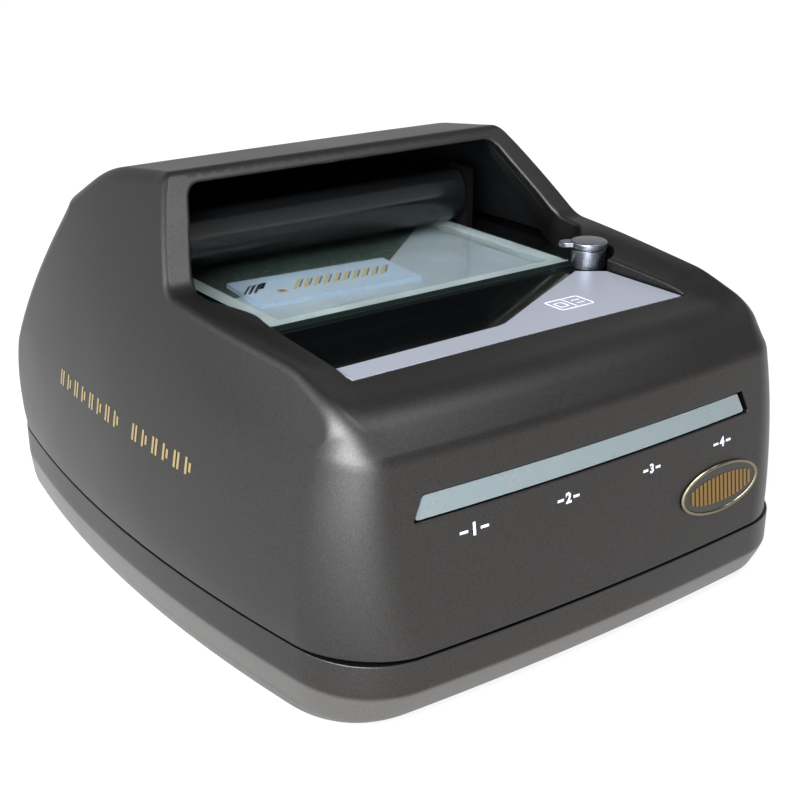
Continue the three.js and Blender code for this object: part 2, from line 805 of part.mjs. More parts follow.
function badgeRim() {
  const ring = frontPatch(ellipse(badgeX, badgeZ, badgeHalfWidth, badgeHalfHeight), -badgeProud, -touchGap);
  const hole = prismY(ellipse(badgeX, badgeZ, badgeHalfWidth - 1.6, badgeHalfHeight - 1.6), front - 8, front + 30);
  return geometryOf(ring.subtract(solidOf(hole)));
}

function badgeFace() {
  const shape = ellipse(badgeX, badgeZ, badgeHalfWidth - 1.9, badgeHalfHeight - 1.9);
  return geometryOf(frontPatch(shape, -badgeProud + 0.35, -touchGap));
}

function foot(x, y) {
  const profile = [
    [0, 0],
    [footRadius - 1, 0],
    [footRadius, 1],
    [footRadius, baseBottomZ],
    [0, baseBottomZ],
  ].map(([r, z]) => new THREE.Vector2(r, z));
  return new THREE.LatheGeometry(profile, 28).rotateX(Math.PI / 2).translate(x, y, 0);
}

function caseScrew(x, y) {
  const headZ = screwSeatZ - screwHeadHeight;
  const body = join(
    cylinderZ(screwHeadRadius, x, y, headZ, screwSeatZ, 20),
    cylinderZ(screwRadius, x, y, screwSeatZ - 0.5, screwSeatZ + screwLength, 12),
  );
  const slot = join(
    box(x - 2, x + 2, y - 0.4, y + 0.4, headZ - 1, headZ + 1),
    box(x - 0.4, x + 0.4, y - 2, y + 2, headZ - 1, headZ + 1),
  );
  return geometryOf(body.subtract(slot));
}

const boxHalf = windowHalf + 9;
const boxFrontY = windowFrontY - 3;
const boxBackY = windowBackY + 3;
const boxTopZ = frameBottomZ - 0.2;

function opticsBox() {
  const outer = box(-boxHalf, boxHalf, boxFrontY, boxBackY, boxFloorZ, boxTopZ);
  const inner = box(
    -boxHalf + boxWall, boxHalf - boxWall, boxFrontY + boxWall, boxBackY - boxWall, boxFloorZ + boxWall, boxTopZ + 1,
  );
  return geometryOf(solidOf(outer).subtract(solidOf(inner)));
}

const boxMiddleY = (boxFrontY + boxBackY) / 2;

// The mirror that folds the view of the glass forward to the camera.
function foldMirror() {
  const half = windowHalf - 8;
  const plate = box(-half, half, -26, 26, -1, 1).rotateX(42 * rad);
  return plate.translate(0, boxBackY - boxWall - 21.5, boxFloorZ + boxWall + 19);
}

function cameraBoard() {
  const y = boxFrontY + boxWall + 0.2;
  return box(-18, 18, y, y + boardThickness, boxFloorZ + boxWall + 2, boxFloorZ + boxWall + 34);
}

function cameraLens() {
  const y = boxFrontY + boxWall + 0.2 + boardThickness;
  const z = boxFloorZ + boxWall + 18;
  return geometryOf(join(cylinderY(8, 0, z, y, y + 7, 28), cylinderY(6, 0, z, y + 6.5, y + 13, 28)));
}

// A strip of lamps on an inner wall of the optics box, left or right.
function lampBoard(side) {
  const x = side * (boxHalf - boxWall - 0.3);
  const inner = x - side * boardThickness;
  const length = boxBackY - boxFrontY - 24;
  const plate = box(
    Math.min(x, inner), Math.max(x, inner), boxMiddleY - length / 2, boxMiddleY + length / 2, boxTopZ - 22, boxTopZ - 8,
  );
  const lamps = [-2, -1, 0, 1, 2].map((step) => {
    const y = boxMiddleY + (step * length) / 5.5;
    const tip = inner - side * 1.6;
    return box(Math.min(inner + side * 0.3, tip), Math.max(inner + side * 0.3, tip), y - 2, y + 2, boxTopZ - 17, boxTopZ - 13);
  });
  return geometryOf(join(plate, ...lamps));
}

// The slanting blue board seen through the glass, with its row of small components.
const blueBoardWidth = 62;
const blueBoardDepth = 27;
const blueBoardFromLeft = 36;
const blueBoardFromFront = 28;
const blueBoardTurn = -5;
const blueBoardZ = glassBottomZ - touchGap - boardThickness;

function blueBoard() {
  const halfX = blueBoardWidth / 2;
  const halfY = blueBoardDepth / 2;
  const plate = box(-halfX, halfX, -halfY, halfY, 0, boardThickness);
  const x = blueBoardFromLeft - windowHalf;
  return plate.rotateZ(blueBoardTurn * rad).translate(x, windowFrontY + blueBoardFromFront, blueBoardZ);
}

const antennaBottomZ = deckZ - deckThickness - touchGap - boardThickness;
const frameMargin = 7;

function antennaBoard() {
  const rear = glassFrontY - frameMargin - 2;
  return box(-bayHalf + 6, bayHalf - 6, lipY + 2, rear, antennaBottomZ, antennaBottomZ + boardThickness);
}

function mainBoard() {
  const half = mainBoardWidth / 2;
  return box(-half, half, mainBoardBackY - mainBoardDepth, mainBoardBackY, mainBoardZ, portZ);
}

function heatSink() {
  const fins = [];
  for (let i = 0; i < 6; i++) {
    fins.push(box(-30 + i * 5.4, -28.4 + i * 5.4, 40, 70, portZ + 2, portZ + 9));
  }
  return geometryOf(join(box(-30, -1.4, 40, 70, portZ, portZ + 2.5), ...fins));
}

function usbSocket() {
  const { x, width: w, height: h, depth: d } = ports.usb;
  const y1 = portFaceY;
  const body = box(x - w / 2, x + w / 2, y1 - d, y1, portZ, portZ + h);
  const mouth = box(x - w / 2 + 1.6, x + w / 2 - 1.6, y1 - d + 4, y1 + 1, portZ + 1.6, portZ + h - 1.6);
  const tongue = box(x - 2.8, x + 2.8, y1 - d + 3, y1 - 1.5, portZ + 3.8, portZ + h - 3.8);
  return geometryOf(solidOf(body).subtract(solidOf(mouth)).add(solidOf(tongue)));
}

function powerSocket() {
  const { x, width: w, height: h, depth: d } = ports.power;
  const y1 = portFaceY;
  const body = box(x - w / 2, x + w / 2, y1 - d, y1, portZ, portZ + h);
  const mouth = cylinderY(3.2, x, portZ + h / 2, y1 - 9, y1 + 1, 24);
  const pin = cylinderY(1, x, portZ + h / 2, y1 - 9.5, y1 - 1.5, 12);
  return geometryOf(solidOf(body).subtract(solidOf(mouth)).add(solidOf(pin)));
}

const rockerZ = portZ + ports.rocker.height / 2;
const rockerAxisY = portFaceY - 3.4;

// The power switch: a frame with a rocker that tips about a crosswise pin.
function rockerHousing() {
  const { x, width: w, height: h, depth: d } = ports.rocker;
  const body = box(x - w / 2, x + w / 2, portFaceY - d, portFaceY, portZ, portZ + h);
  const mouth = box(x - w / 2 + 1.2, x + w / 2 - 1.2, portFaceY - d + 2, portFaceY + 1, portZ + 1, portZ + h - 1);
  return geometryOf(solidOf(body).subtract(solidOf(mouth)));
}

function rocker() {
  const { x, width: w, height: h } = ports.rocker;
  const half = w / 2 - 1.7;
  const tall = h / 2 - 1.8;
  const outline = [
    [-2.4, 0],
    [-1.6, -tall * 0.8],
    [3.3, -tall],
    [2.7, 0],
    [3.3, tall],
    [-1.6, tall * 0.8],
  ];
  return prismX(outline, -half, half).rotateX(-rockerTilt * rad).translate(x, rockerAxisY, rockerZ);
}

function buzzer() {
  return geometryOf(
    solidOf(cylinderZ(6, 30, 60, portZ, portZ + 6, 28)).subtract(solidOf(cylinderZ(1, 30, 60, portZ + 4, portZ + 7, 12))),
  );
}

// The flat cable from the main board up to the antenna board, in front of the optics box.
function ribbonCable() {
  const y = glassFrontY - frameMargin - 1.3;
  const top = antennaBottomZ - touchGap;
  const flat = box(-7, 7, y, mainBoardBackY - mainBoardDepth + 6, portZ + touchGap, portZ + touchGap + 0.7);
  const riser = box(-7, 7, y, y + 0.7, portZ + touchGap, top);
  const head = box(-7, 7, y - 6, y + 0.7, top - 0.7, top);
  return geometryOf(join(flat, riser, head));
}

addPart("upper_shell", upperShell(envelope(0, seamZ)), "shell");
addPart("base_shell", baseShell(), "shell");
addPart("hood_liner", hoodLiner(), "liner");
addPart("deck_panel", deckPanel(), "black");
addPart("deck_label", deckLabel(), "label");
addPart("scan_glass", scanGlass(), "glass");
addPart("glass_frame", glassFrame(), "label");
addPart("glass_clip", glassClip(), "plastic");
addPart("knob_latch", knobLatch(), "steel");
addPart("press_flap", pressFlap(), "black");
addPart("flap_shaft", flapShaft(), "steel");
addPart("flap_bracket_left", flapBracket(-1), "plastic");
addPart("flap_bracket_right", flapBracket(1), "plastic");
addPart("light_bar", lightBar(), "lightGuide");
addPart("status_board", statusBoard(), "board");
for (let i = 0; i < lightCount; i++) {
  addPart(`status_light_${i + 1}`, statusLight(i), "lamp");
}
addPart("badge_rim", badgeRim(), "chrome");
addPart("badge_face", badgeFace(), "gold");
const footX = width / 2 - footInsetX;
const footY = depth / 2 - footInsetY;
[
  [-footX, -footY],
  [footX, -footY],
  [-footX, footY],
  [footX, footY],
].forEach(([x, y], i) => {
  addPart(`foot_${cornerNames[i]}`, foot(x, y), "rubber");
});
bossPlaces.forEach(([x, y], i) => {
  addPart(`case_screw_${cornerNames[i]}`, caseScrew(x, y), "steel");
});
addPart("optics_box", opticsBox(), "plastic");
addPart("fold_mirror", foldMirror(), "glass");
addPart("camera_board", cameraBoard(), "board");
addPart("camera_lens", cameraLens(), "plastic");
addPart("lamp_board_left", lampBoard(-1), "board");
addPart("lamp_board_right", lampBoard(1), "board");
addPart("window_board", blueBoard(), "blueBoard");
addPart("antenna_board", antennaBoard(), "board");
addPart("main_board", mainBoard(), "board");
addPart("heat_sink", heatSink(), "steel");
addPart("buzzer", buzzer(), "plastic");
addPart("usb_socket", usbSocket(), "steel");
addPart("power_socket", powerSocket(), "plastic");
addPart("switch_housing", rockerHousing(), "plastic");
addPart("power_rocker", rocker(), "plastic");
addPart("ribbon_cable", ribbonCable(), "lamp");

export default root;
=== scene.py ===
"""Looks of the desktop passport scanner: case, bay, flap, glass, light bar and badge."""
import json
import math

import bmesh
import bpy
import numpy as np
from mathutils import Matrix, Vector
from mathutils.geometry import delaunay_2d_cdt


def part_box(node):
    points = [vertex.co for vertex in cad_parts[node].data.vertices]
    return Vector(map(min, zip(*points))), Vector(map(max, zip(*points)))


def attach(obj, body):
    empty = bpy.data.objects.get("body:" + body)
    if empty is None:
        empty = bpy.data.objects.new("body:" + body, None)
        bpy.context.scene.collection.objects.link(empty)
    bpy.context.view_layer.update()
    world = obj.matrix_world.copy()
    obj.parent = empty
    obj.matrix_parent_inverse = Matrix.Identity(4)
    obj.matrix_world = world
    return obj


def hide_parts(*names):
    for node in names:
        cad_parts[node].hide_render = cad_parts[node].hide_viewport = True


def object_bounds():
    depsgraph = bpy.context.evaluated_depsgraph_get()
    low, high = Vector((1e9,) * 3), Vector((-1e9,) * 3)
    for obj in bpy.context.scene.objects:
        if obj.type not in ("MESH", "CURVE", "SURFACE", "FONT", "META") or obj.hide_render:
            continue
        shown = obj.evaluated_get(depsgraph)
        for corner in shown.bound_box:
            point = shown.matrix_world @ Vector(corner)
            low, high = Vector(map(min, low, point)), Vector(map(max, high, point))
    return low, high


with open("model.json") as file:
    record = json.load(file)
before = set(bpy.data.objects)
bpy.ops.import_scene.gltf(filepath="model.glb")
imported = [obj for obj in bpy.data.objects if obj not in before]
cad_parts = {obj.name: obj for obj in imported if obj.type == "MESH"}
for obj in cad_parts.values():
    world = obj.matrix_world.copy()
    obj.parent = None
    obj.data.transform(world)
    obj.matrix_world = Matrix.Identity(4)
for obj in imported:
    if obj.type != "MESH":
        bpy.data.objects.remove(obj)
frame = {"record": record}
cad_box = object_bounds()

# All sizes are in millimetres, with the front facing -Y and the table at z = 0.
MM = 0.001

# Driving sizes of the case.
WIDTH = 206.0
DEPTH = 250.0
HEIGHT = 138.5
WALL = 3.0
SEAM_Z = 26.0
SEAM_GAP = 0.8
SEAM_EDGE = 0.45
CORNER_RADIUS = 25.0
BROW_CORNER_RADIUS = 15.0
BACK_CORNER_RADIUS = 13.0
BACK_CORNER_TOP_Z = 60.0
SIDE_BOW = 0.0763
UPPER_SIDE_BOW = 0.069
BOW_CHANGE_HEIGHT = 40.0
FRONT_BOW = 0.024
BOW_HALF_LENGTH = 100.0
BOW_HALF_WIDTH = 78.0
LEAN_START_Z = 35.0
TOP_NARROWING = 0.313
LEAN_POWER = 1.94
FOOT_NARROWING = 0.005
HOOD_RISE = 40.5
BROW_DROP = 14.2
BROW_SETBACK = 7.8
NOSE_DROP = 1.2
NOSE_SETBACK = 19.6
RIM_FRONT_RISE = 4.7
RIM_FRONT_SETBACK = 42.7
RIM_SLOPE = 0.068
RIM_SAG = 3.6
HOOD_FOOT_SETBACK = 111.1
HOOD_LEAN = 0.912
ROOF_BEND_Y = 56.0
ROOF_BEND_DROP = 5.0
ROOF_BACK_SETBACK = 41.0
ROOF_BACK_DROP = 19.6
BACK_BEND_Z = 51.5
BACK_BEND_SETBACK = 2.3
EDGE_RADIUS = 5.0
RIM_EDGE_RADIUS = 2.2
RIM_BORDER = 3.85
CREASE_LEAN = 0.12
CREASE_SOFTNESS = 5.0
CREASE_FRONT_SETBACK = 30.0
CREASE_BACK_SETBACK = 105.0

# The bay, the mouth of the hood and the glass.
LIP_SETBACK = 38.0
DECK_DROP = 1.5
GLASS_WIDTH = 126.0
GLASS_DEPTH = 92.0
GLASS_PROUD = 1.7
GLASS_SETBACK = 51.0
BAY_MARGIN = 4.5
FLARE_LENGTH = 11.0
PILLAR_WIDTH = 10.0
MOUTH_TOP_DROP = 4.2
MOUTH_CORNER = 7.0
MOUTH_RETURN = 13.0
LINTEL_RETURN = 4.5
OPENING_EDGE = 1.3
RETURN_WALL = 0.8
GLASS_THICKNESS = 2.0

# Places that follow from the sizes.
HALF = WIDTH / 2
FRONT = -DEPTH / 2
BACK = DEPTH / 2
LIP_Z = HEIGHT - HOOD_RISE
BROW_Z = LIP_Z - BROW_DROP
NOSE_Z = LIP_Z - NOSE_DROP
RIM_FRONT_Z = LIP_Z + RIM_FRONT_RISE
LIP_Y = FRONT + LIP_SETBACK
DECK_Z = LIP_Z - DECK_DROP
GLASS_TOP_Z = DECK_Z + GLASS_PROUD
GLASS_FRONT_Y = LIP_Y + GLASS_SETBACK
GLASS_BACK_Y = GLASS_FRONT_Y + GLASS_DEPTH
BAY_HALF = GLASS_WIDTH / 2 + BAY_MARGIN
HOOD_FOOT_Y = FRONT + HOOD_FOOT_SETBACK
HOOD_FOOT_Z = RIM_FRONT_Z + (HOOD_FOOT_SETBACK - RIM_FRONT_SETBACK) * RIM_SLOPE
HOOD_TOP_Y = HOOD_FOOT_Y + (HEIGHT - HOOD_FOOT_Z) * HOOD_LEAN
FLARE_END_Y = GLASS_FRONT_Y + FLARE_LENGTH
KNOB_X = GLASS_WIDTH / 2 + 3.7
KNOB_Y = GLASS_FRONT_Y - 5.0
KNOB_NOTCH = 8.8
LINTEL_Z = HEIGHT - MOUTH_TOP_DROP

# Stretches over which the rounding of the case changes, and where the sag of the bay's rim ends.
FRONT_PART_END_Y = ROOF_BEND_Y - 16
BACK_FADE = 6
EDGE_CHANGE_Y = (HOOD_TOP_Y - 6, HOOD_TOP_Y + 8)
SAG_END_Y = (GLASS_FRONT_Y - 11, HOOD_FOOT_Y - 7)

# The most of a straight stretch that one rounded corner takes up.
MOST_REACH = 0.45

DOWN = np.array([0.0, 0.0, -1.0])


def smooth(low, high, value):
    """0 below the low mark, 1 above the high one, with a soft rise between them."""
    t = np.clip((value - low) / (high - low), 0, 1)
    return t * t * (3 - 2 * t)


def unit(vectors):
    return vectors / np.maximum(np.linalg.norm(vectors, axis=-1, keepdims=True), 1e-12)


# The side outline of the case as (y, z, corner radius), from the seam in front to the seam at the back.
SIDE_CORNERS = [
    (FRONT, SEAM_Z, 0),
    (FRONT + BROW_SETBACK, BROW_Z, 7),
    (FRONT + NOSE_SETBACK, NOSE_Z, 32),
    (FRONT + RIM_FRONT_SETBACK, RIM_FRONT_Z, 40),
    (HOOD_FOOT_Y, HOOD_FOOT_Z, 12),
    (HOOD_TOP_Y, HEIGHT, 5),
    (ROOF_BEND_Y, HEIGHT - ROOF_BEND_DROP, 60),
    (BACK - ROOF_BACK_SETBACK, HEIGHT - ROOF_BACK_DROP, 10),
    (BACK - BACK_BEND_SETBACK, BACK_BEND_Z, 70),
    (BACK, SEAM_Z, 0),
]


def fillet(before, corner, after, radius):
    """Start, control and end point of the curve that rounds a corner."""
    before, corner, after = (np.array(p, float) for p in (before, corner, after))
    u = (before - corner) / np.linalg.norm(before - corner)
    v = (after - corner) / np.linalg.norm(after - corner)
    half_angle = math.acos(max(-1.0, min(1.0, float(u @ v)))) / 2
    longest = MOST_REACH * min(np.linalg.norm(before - corner), np.linalg.norm(after - corner))
    reach = min(radius / math.tan(half_angle), longest)
    return corner + u * reach, corner, corner + v * reach


def quadratic(start, control, end, t):
    return (1 - t) ** 2 * start + 2 * t * (1 - t) * control + t * t * end


def rounded(corners, steps, closed=True):
    """A polyline through (a, b, radius) corners, each rounded by a short curve."""
    points = []
    count = len(corners)
    for i, (a, b, radius) in enumerate(corners):
        if not radius or (not closed and i in (0, count - 1)):
            points.append([[a, b]])
            continue
        before = corners[i - 1][:2]
        after = corners[(i + 1) % count][:2]
        curve = fillet(before, (a, b), after, radius)
        points.append(quadratic(*curve, np.linspace(0, 1, steps + 1)[:, None]))
    return np.concatenate(points)


def refined(points, spacing, closed=False):
    """The polyline with its long stretches cut into steps of about a spacing."""
    points = np.asarray(points, float)
    ends = np.roll(points, -1, axis=0) if closed else points[1:]
    out = []
    for a, b in zip(points, ends):
        parts = max(1, round(float(np.linalg.norm(b - a)) / spacing))
        out.append(a + (b - a) * (np.arange(parts) / parts)[:, None])
    if not closed:
        out.append(points[-1:])
    return np.concatenate(out)


def run_lengths(points):
    return np.concatenate([[0], np.cumsum(np.linalg.norm(np.diff(points, axis=0), axis=1))])


DENSE_PROFILE = refined(rounded(SIDE_CORNERS, 160, closed=False), 0.5)
PROFILE_Q = run_lengths(DENSE_PROFILE)
PROFILE_LENGTH = PROFILE_Q[-1]


def half_width(z):
    up = np.maximum(0, (z - LEAN_START_Z) / (HEIGHT - LEAN_START_Z))
    down = np.clip((LEAN_START_Z - z) / (LEAN_START_Z - SEAM_Z), 0, 1)
    return HALF * (1 - TOP_NARROWING * up ** LEAN_POWER - FOOT_NARROWING * down ** 2)


def crease_push(y, z):
    """How far the sides lean in above the brow's crease, which fades towards the hood."""
    over = np.clip(z - BROW_Z + CREASE_SOFTNESS / 2, 0, None)
    rise = np.where(over < CREASE_SOFTNESS, over**2 / (2 * CREASE_SOFTNESS), over - CREASE_SOFTNESS / 2)
    return CREASE_LEAN * rise * (1 - smooth(FRONT + CREASE_FRONT_SETBACK, FRONT + CREASE_BACK_SETBACK, y))


def bowed(x, y, z):
    """A point of the straight-sided case moved to its place on the leaning, bowed one."""
    bow_rise = np.clip((z - SEAM_Z) / BOW_CHANGE_HEIGHT, 0, 1)
    bow = SIDE_BOW + (UPPER_SIDE_BOW - SIDE_BOW) * bow_rise
    px = x / HALF * (half_width(z) - crease_push(y, z)) * (1 - bow * (y / BOW_HALF_LENGTH) ** 2)
    return np.stack([px, y * (1 - FRONT_BOW * (px / BOW_HALF_WIDTH) ** 2), z], axis=-1)


def unbowed(a, q):
    """The straight-sided case: a runs across it (1 to 2 round its side edges), q along the side outline."""
    y = np.interp(q, PROFILE_Q, DENSE_PROFILE[:, 0])
    z = np.interp(q, PROFILE_Q, DENSE_PROFILE[:, 1])
    in_front = y < FRONT_PART_END_Y
    front_share = 1 - smooth(BROW_Z, RIM_FRONT_Z, z)
    back_share = 1 - smooth(HEIGHT - ROOF_BACK_DROP - BACK_FADE, HEIGHT - BACK_FADE, z)
    upright = np.where(in_front, front_share, back_share)
    top_z = np.where(in_front, BROW_Z, BACK_CORNER_TOP_Z)
    top_radius = np.where(in_front, BROW_CORNER_RADIUS, BACK_CORNER_RADIUS)
    rise = np.clip((z - SEAM_Z) / (top_z - SEAM_Z), 0, 1)
    full = CORNER_RADIUS + (top_radius - CORNER_RADIUS) * rise
    edge = RIM_EDGE_RADIUS + (EDGE_RADIUS - RIM_EDGE_RADIUS) * smooth(*EDGE_CHANGE_Y, y)
    radius = edge + (full - edge) * upright
    turn = np.clip(np.abs(a) - 1, 0, 1) * math.pi / 2
    x = np.minimum(np.abs(a), 1) * (HALF - radius) + radius * np.sin(turn)
    drawn = radius * (1 - np.cos(turn))
    y_in = y + np.where(in_front, 1, -1) * upright * drawn
    z_in = z + (upright - 1) * drawn
    over_rim = smooth(FRONT + BROW_SETBACK, LIP_Y, y) * (1 - smooth(*SAG_END_Y, y))
    rim_scale = half_width(RIM_FRONT_Z) / HALF * (1 - UPPER_SIDE_BOW * (y / BOW_HALF_LENGTH) ** 2)
    between_rims = 1 - smooth(BAY_HALF, half_width(RIM_FRONT_Z) - RIM_BORDER, x * rim_scale)
    z_in = z_in - RIM_SAG * np.where(z > BROW_Z, over_rim, 0) * between_rims
    return np.sign(a) * x, y_in, z_in


def case_point(a, q):
    return bowed(*unbowed(a, q))


def surface_normals(point_at, u, v, du, dv):
    across = point_at(u + du, v) - point_at(u - du, v)
    along = point_at(u, v + dv) - point_at(u, v - dv)
    return unit(np.cross(across, along))


# Steps over which the directions of the surface are measured.
NORMAL_STEP_A = 1e-3
NORMAL_STEP = 0.05


def case_normal(a, q):
    return surface_normals(case_point, a, q, NORMAL_STEP_A, NORMAL_STEP)


# How the place of a point on the case is found: rounds, steps for the slopes and longest moves.
LOCATE_ROUNDS = 24
SLOPE_A = 1e-4
SLOPE_Q = 1e-2
MOST_MOVE_A = 0.15
MOST_MOVE_Q = 6


def locate(targets, axes, a, q):
    """The (a, q) of the case's points that have the given pairs of coordinates."""
    rows = np.arange(len(targets))[:, None]
    for _ in range(LOCATE_ROUNDS):
        error = targets - case_point(a, q)[rows, axes]
        by_a = ((case_point(a + SLOPE_A, q) - case_point(a - SLOPE_A, q)) / (2 * SLOPE_A))[rows, axes]
        by_q = ((case_point(a, q + SLOPE_Q) - case_point(a, q - SLOPE_Q)) / (2 * SLOPE_Q))[rows, axes]
        det = by_a[:, 0] * by_q[:, 1] - by_a[:, 1] * by_q[:, 0]
        det = np.where(np.abs(det) < 1e-9, 1e-9, det)
        move_a = (error[:, 0] * by_q[:, 1] - error[:, 1] * by_q[:, 0]) / det
        move_q = (by_a[:, 0] * error[:, 1] - by_a[:, 1] * error[:, 0]) / det
        a = a + np.clip(move_a, -MOST_MOVE_A, MOST_MOVE_A)
        q = np.clip(q + np.clip(move_q, -MOST_MOVE_Q, MOST_MOVE_Q), 0, PROFILE_LENGTH)
    return a, q


# The flat map of the surface: p runs across it in millimetres, q along it.
FLAT_P = 78.0
EDGE_P = 22.0


def a_from_p(p):
    p = np.asarray(p, float)
    flat = p / FLAT_P
    edge = np.sign(p) * (1 + (np.abs(p) - FLAT_P) / EDGE_P)
    return np.where(np.abs(p) <= FLAT_P, flat, edge)


def p_from_a(a):
    a = np.asarray(a, float)
    return np.where(np.abs(a) <= 1, a * FLAT_P, np.sign(a) * (FLAT_P + (np.abs(a) - 1) * EDGE_P))


def inside(points, loop):
    """Which points lie inside a closed loop in the plane."""
    x, y = points[:, 0][:, None], points[:, 1][:, None]
    ax, ay = loop[:, 0], loop[:, 1]
    bx, by = np.roll(ax, -1), np.roll(ay, -1)
    spans = (ay > y) != (by > y)
    with np.errstate(divide="ignore", invalid="ignore"):
        cross_x = ax + (y - ay) * (bx - ax) / (by - ay)
    return (np.sum(spans & (x < cross_x), axis=1) % 2) == 1


HOLE_CLEARANCE = 1.1


def distances_to(points, loop):
    """How far each point is from the nearest point of a loop."""
    return np.min(np.linalg.norm(points[:, None] - loop[None], axis=2), axis=1)


def trimmed_sheet(grid, holes, outline=None):
    """Triangles over grid points, open inside the holes, with the loops' own points on the edges."""
    keep = np.ones(len(grid), bool)
    for loop in holes:
        keep &= ~inside(grid, loop) & (distances_to(grid, loop) > HOLE_CLEARANCE)
    points = [grid[keep]]
    edges = []
    loops = []
    start = int(keep.sum())
    for loop in holes if outline is None else [*holes, outline]:
        ids = np.arange(start, start + len(loop))
        loops.append(ids)
        edges += np.stack([ids, np.roll(ids, -1)], axis=1).tolist()
        points.append(loop)
        start += len(loop)
    result = delaunay_2d_cdt([Vector(p) for p in np.concatenate(points)], edges, [], 0, 1e-7)
    new_of_old = {old: new for new, olds in enumerate(result[3]) for old in olds}
    flat = np.array([tuple(v) for v in result[0]])
    triangles = np.array(result[2])
    centres = flat[triangles].mean(axis=1)
    drop = np.zeros(len(triangles), bool)
    for loop in holes:
        drop |= inside(centres, loop)
    if outline is not None:
        drop |= ~inside(centres, outline)
    return flat, triangles[~drop], [np.array([new_of_old[i] for i in ids]) for ids in loops]


def filled_outline(outline, columns, rows, clearance):
    """Triangles inside a closed outline, over the grid points that lie clear of it."""
    grid = np.array([(u, v) for u in columns for v in rows])
    grid = grid[inside(grid, outline) & (distances_to(grid, outline) > clearance)]
    return trimmed_sheet(grid, [], outline)


class Skin:
    """Points, normals and faces of one mesh, gathered part by part."""

    def __init__(self):
        self.points = []
        self.normals = []
        self.faces = []
        self.count = 0

    def add(self, points, normals):
        """New points with their normals, or with one for all; returns their numbers."""
        start = self.count
        self.points.append(np.asarray(points, float))
        self.normals.append(np.broadcast_to(normals, self.points[-1].shape))
        self.count += len(points)
        return np.arange(start, self.count)

    def triangles(self, ids, triangles):
        self.faces += ids[triangles].tolist()

    def wall(self, points, normals, triangles, thickness):
        """A surface and its inner face, a thickness behind it."""
        outer = self.add(points, normals)
        inner = self.add(points - thickness * normals, -normals)
        self.triangles(outer, triangles)
        self.triangles(inner, triangles)
        return outer, inner

    def band(self, first, second):
        """Faces between two closed rows."""
        rows = (first, np.roll(first, -1), np.roll(second, -1), second)
        self.faces += np.stack(rows, axis=1).tolist()

    def extend(self, row, points, normals):
        """A band from a row to new points; returns the new row."""
        fresh = self.add(points, normals)
        self.band(row, fresh)
        return fresh

    def build(self, name):
        points = np.concatenate(self.points)
        normals = np.concatenate(self.normals)
        faces = []
        for face in self.faces:
            a, b, c = points[face[0]], points[face[1]], points[face[2]]
            turn = np.cross(b - a, c - a)
            if len(face) == 4:
                turn = turn + np.cross(c - a, points[face[3]] - a)
            faces.append(face[::-1] if turn @ normals[face].sum(axis=0) < 0 else face)
        return mesh_object(name, points, faces, normals)


def add_object(name, data):
    item = bpy.data.objects.new(name, data)
    bpy.context.scene.collection.objects.link(item)
    return item


def mesh_object(name, points, faces, normals=None):
    """A smooth mesh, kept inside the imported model's box."""
    mesh = bpy.data.meshes.new(name)
    inside_box = np.clip(np.asarray(points) * MM, cad_box[0], cad_box[1])
    mesh.from_pydata(inside_box.tolist(), [], faces)
    mesh.shade_smooth()
    if normals is not None:
        mesh.normals_split_custom_set_from_vertices(np.asarray(normals).tolist())
    return add_object(name, mesh)


def rolled_edge(skin, row, start, corner, end, start_normals, end_normals, steps=5):
    """Rows that round an edge from a surface over its corner to the wall; returns the last row."""
    for k in range(1, steps + 1):
        t = k / steps
        normals = unit(start_normals * (1 - t) + end_normals * t)
        row = skin.extend(row, quadratic(start, corner, end, t), normals)
    return row


def loop_normals(loop):
    """Normals in the plane of a closed loop, to the right of its run."""
    along = unit(np.roll(loop, -1, axis=0) - np.roll(loop, 1, axis=0))
    return np.stack([along[:, 1], -along[:, 0]], axis=1)


# The pairs of axes that an outline is given in: seen from above and from the front.
PLAN = (0, 1)
ELEVATION = (0, 2)

# The bay and the mouth: corner radii, the arc of the knob's notch, and the ends of the straight parts.
LIP_CORNER = 1.2
FLARE_CORNER = 8
NOTCH_ARC = (-80, 58)
NOTCH_STEPS = 19
NOTCH_RUN_OUT = 0.6
PILLAR_FOOT_GAP = 3
FACE_START_RISE = 0.6
FACE_STOP_DROP = 9
LINTEL_SPREAD = 0.8
OPENING_SPACING = 2.0


def mouth_half(z):
    return half_width(z) - PILLAR_WIDTH


def opening_plan(with_notch):
    """One side of the bay seen from above, from the lip back to the pillar, as (x, y)."""
    wide = mouth_half(RIM_FRONT_Z + 4)
    plan = [(0, LIP_Y, 0), (BAY_HALF, LIP_Y, LIP_CORNER)]
    if with_notch:
        start = math.asin((BAY_HALF - KNOB_X) / KNOB_NOTCH)
        plan.append((BAY_HALF, KNOB_Y - KNOB_NOTCH * math.cos(start), 0))
        for angle in np.radians(np.linspace(*NOTCH_ARC, NOTCH_STEPS)):
            plan.append((KNOB_X + KNOB_NOTCH * math.cos(angle), KNOB_Y + KNOB_NOTCH * math.sin(angle), 0))
        meet_y = KNOB_Y + KNOB_NOTCH * math.sin(math.radians(NOTCH_ARC[1])) + NOTCH_RUN_OUT
        flare_slope = (wide - BAY_HALF) / FLARE_LENGTH
        plan.append((BAY_HALF + flare_slope * (meet_y - GLASS_FRONT_Y), meet_y, 0))
    else:
        plan.append((BAY_HALF, GLASS_FRONT_Y, FLARE_CORNER))
    plan += [(wide, FLARE_END_Y, FLARE_CORNER), (wide, HOOD_FOOT_Y - PILLAR_FOOT_GAP, 0)]
    return refined(rounded(plan, 8, closed=False), OPENING_SPACING)


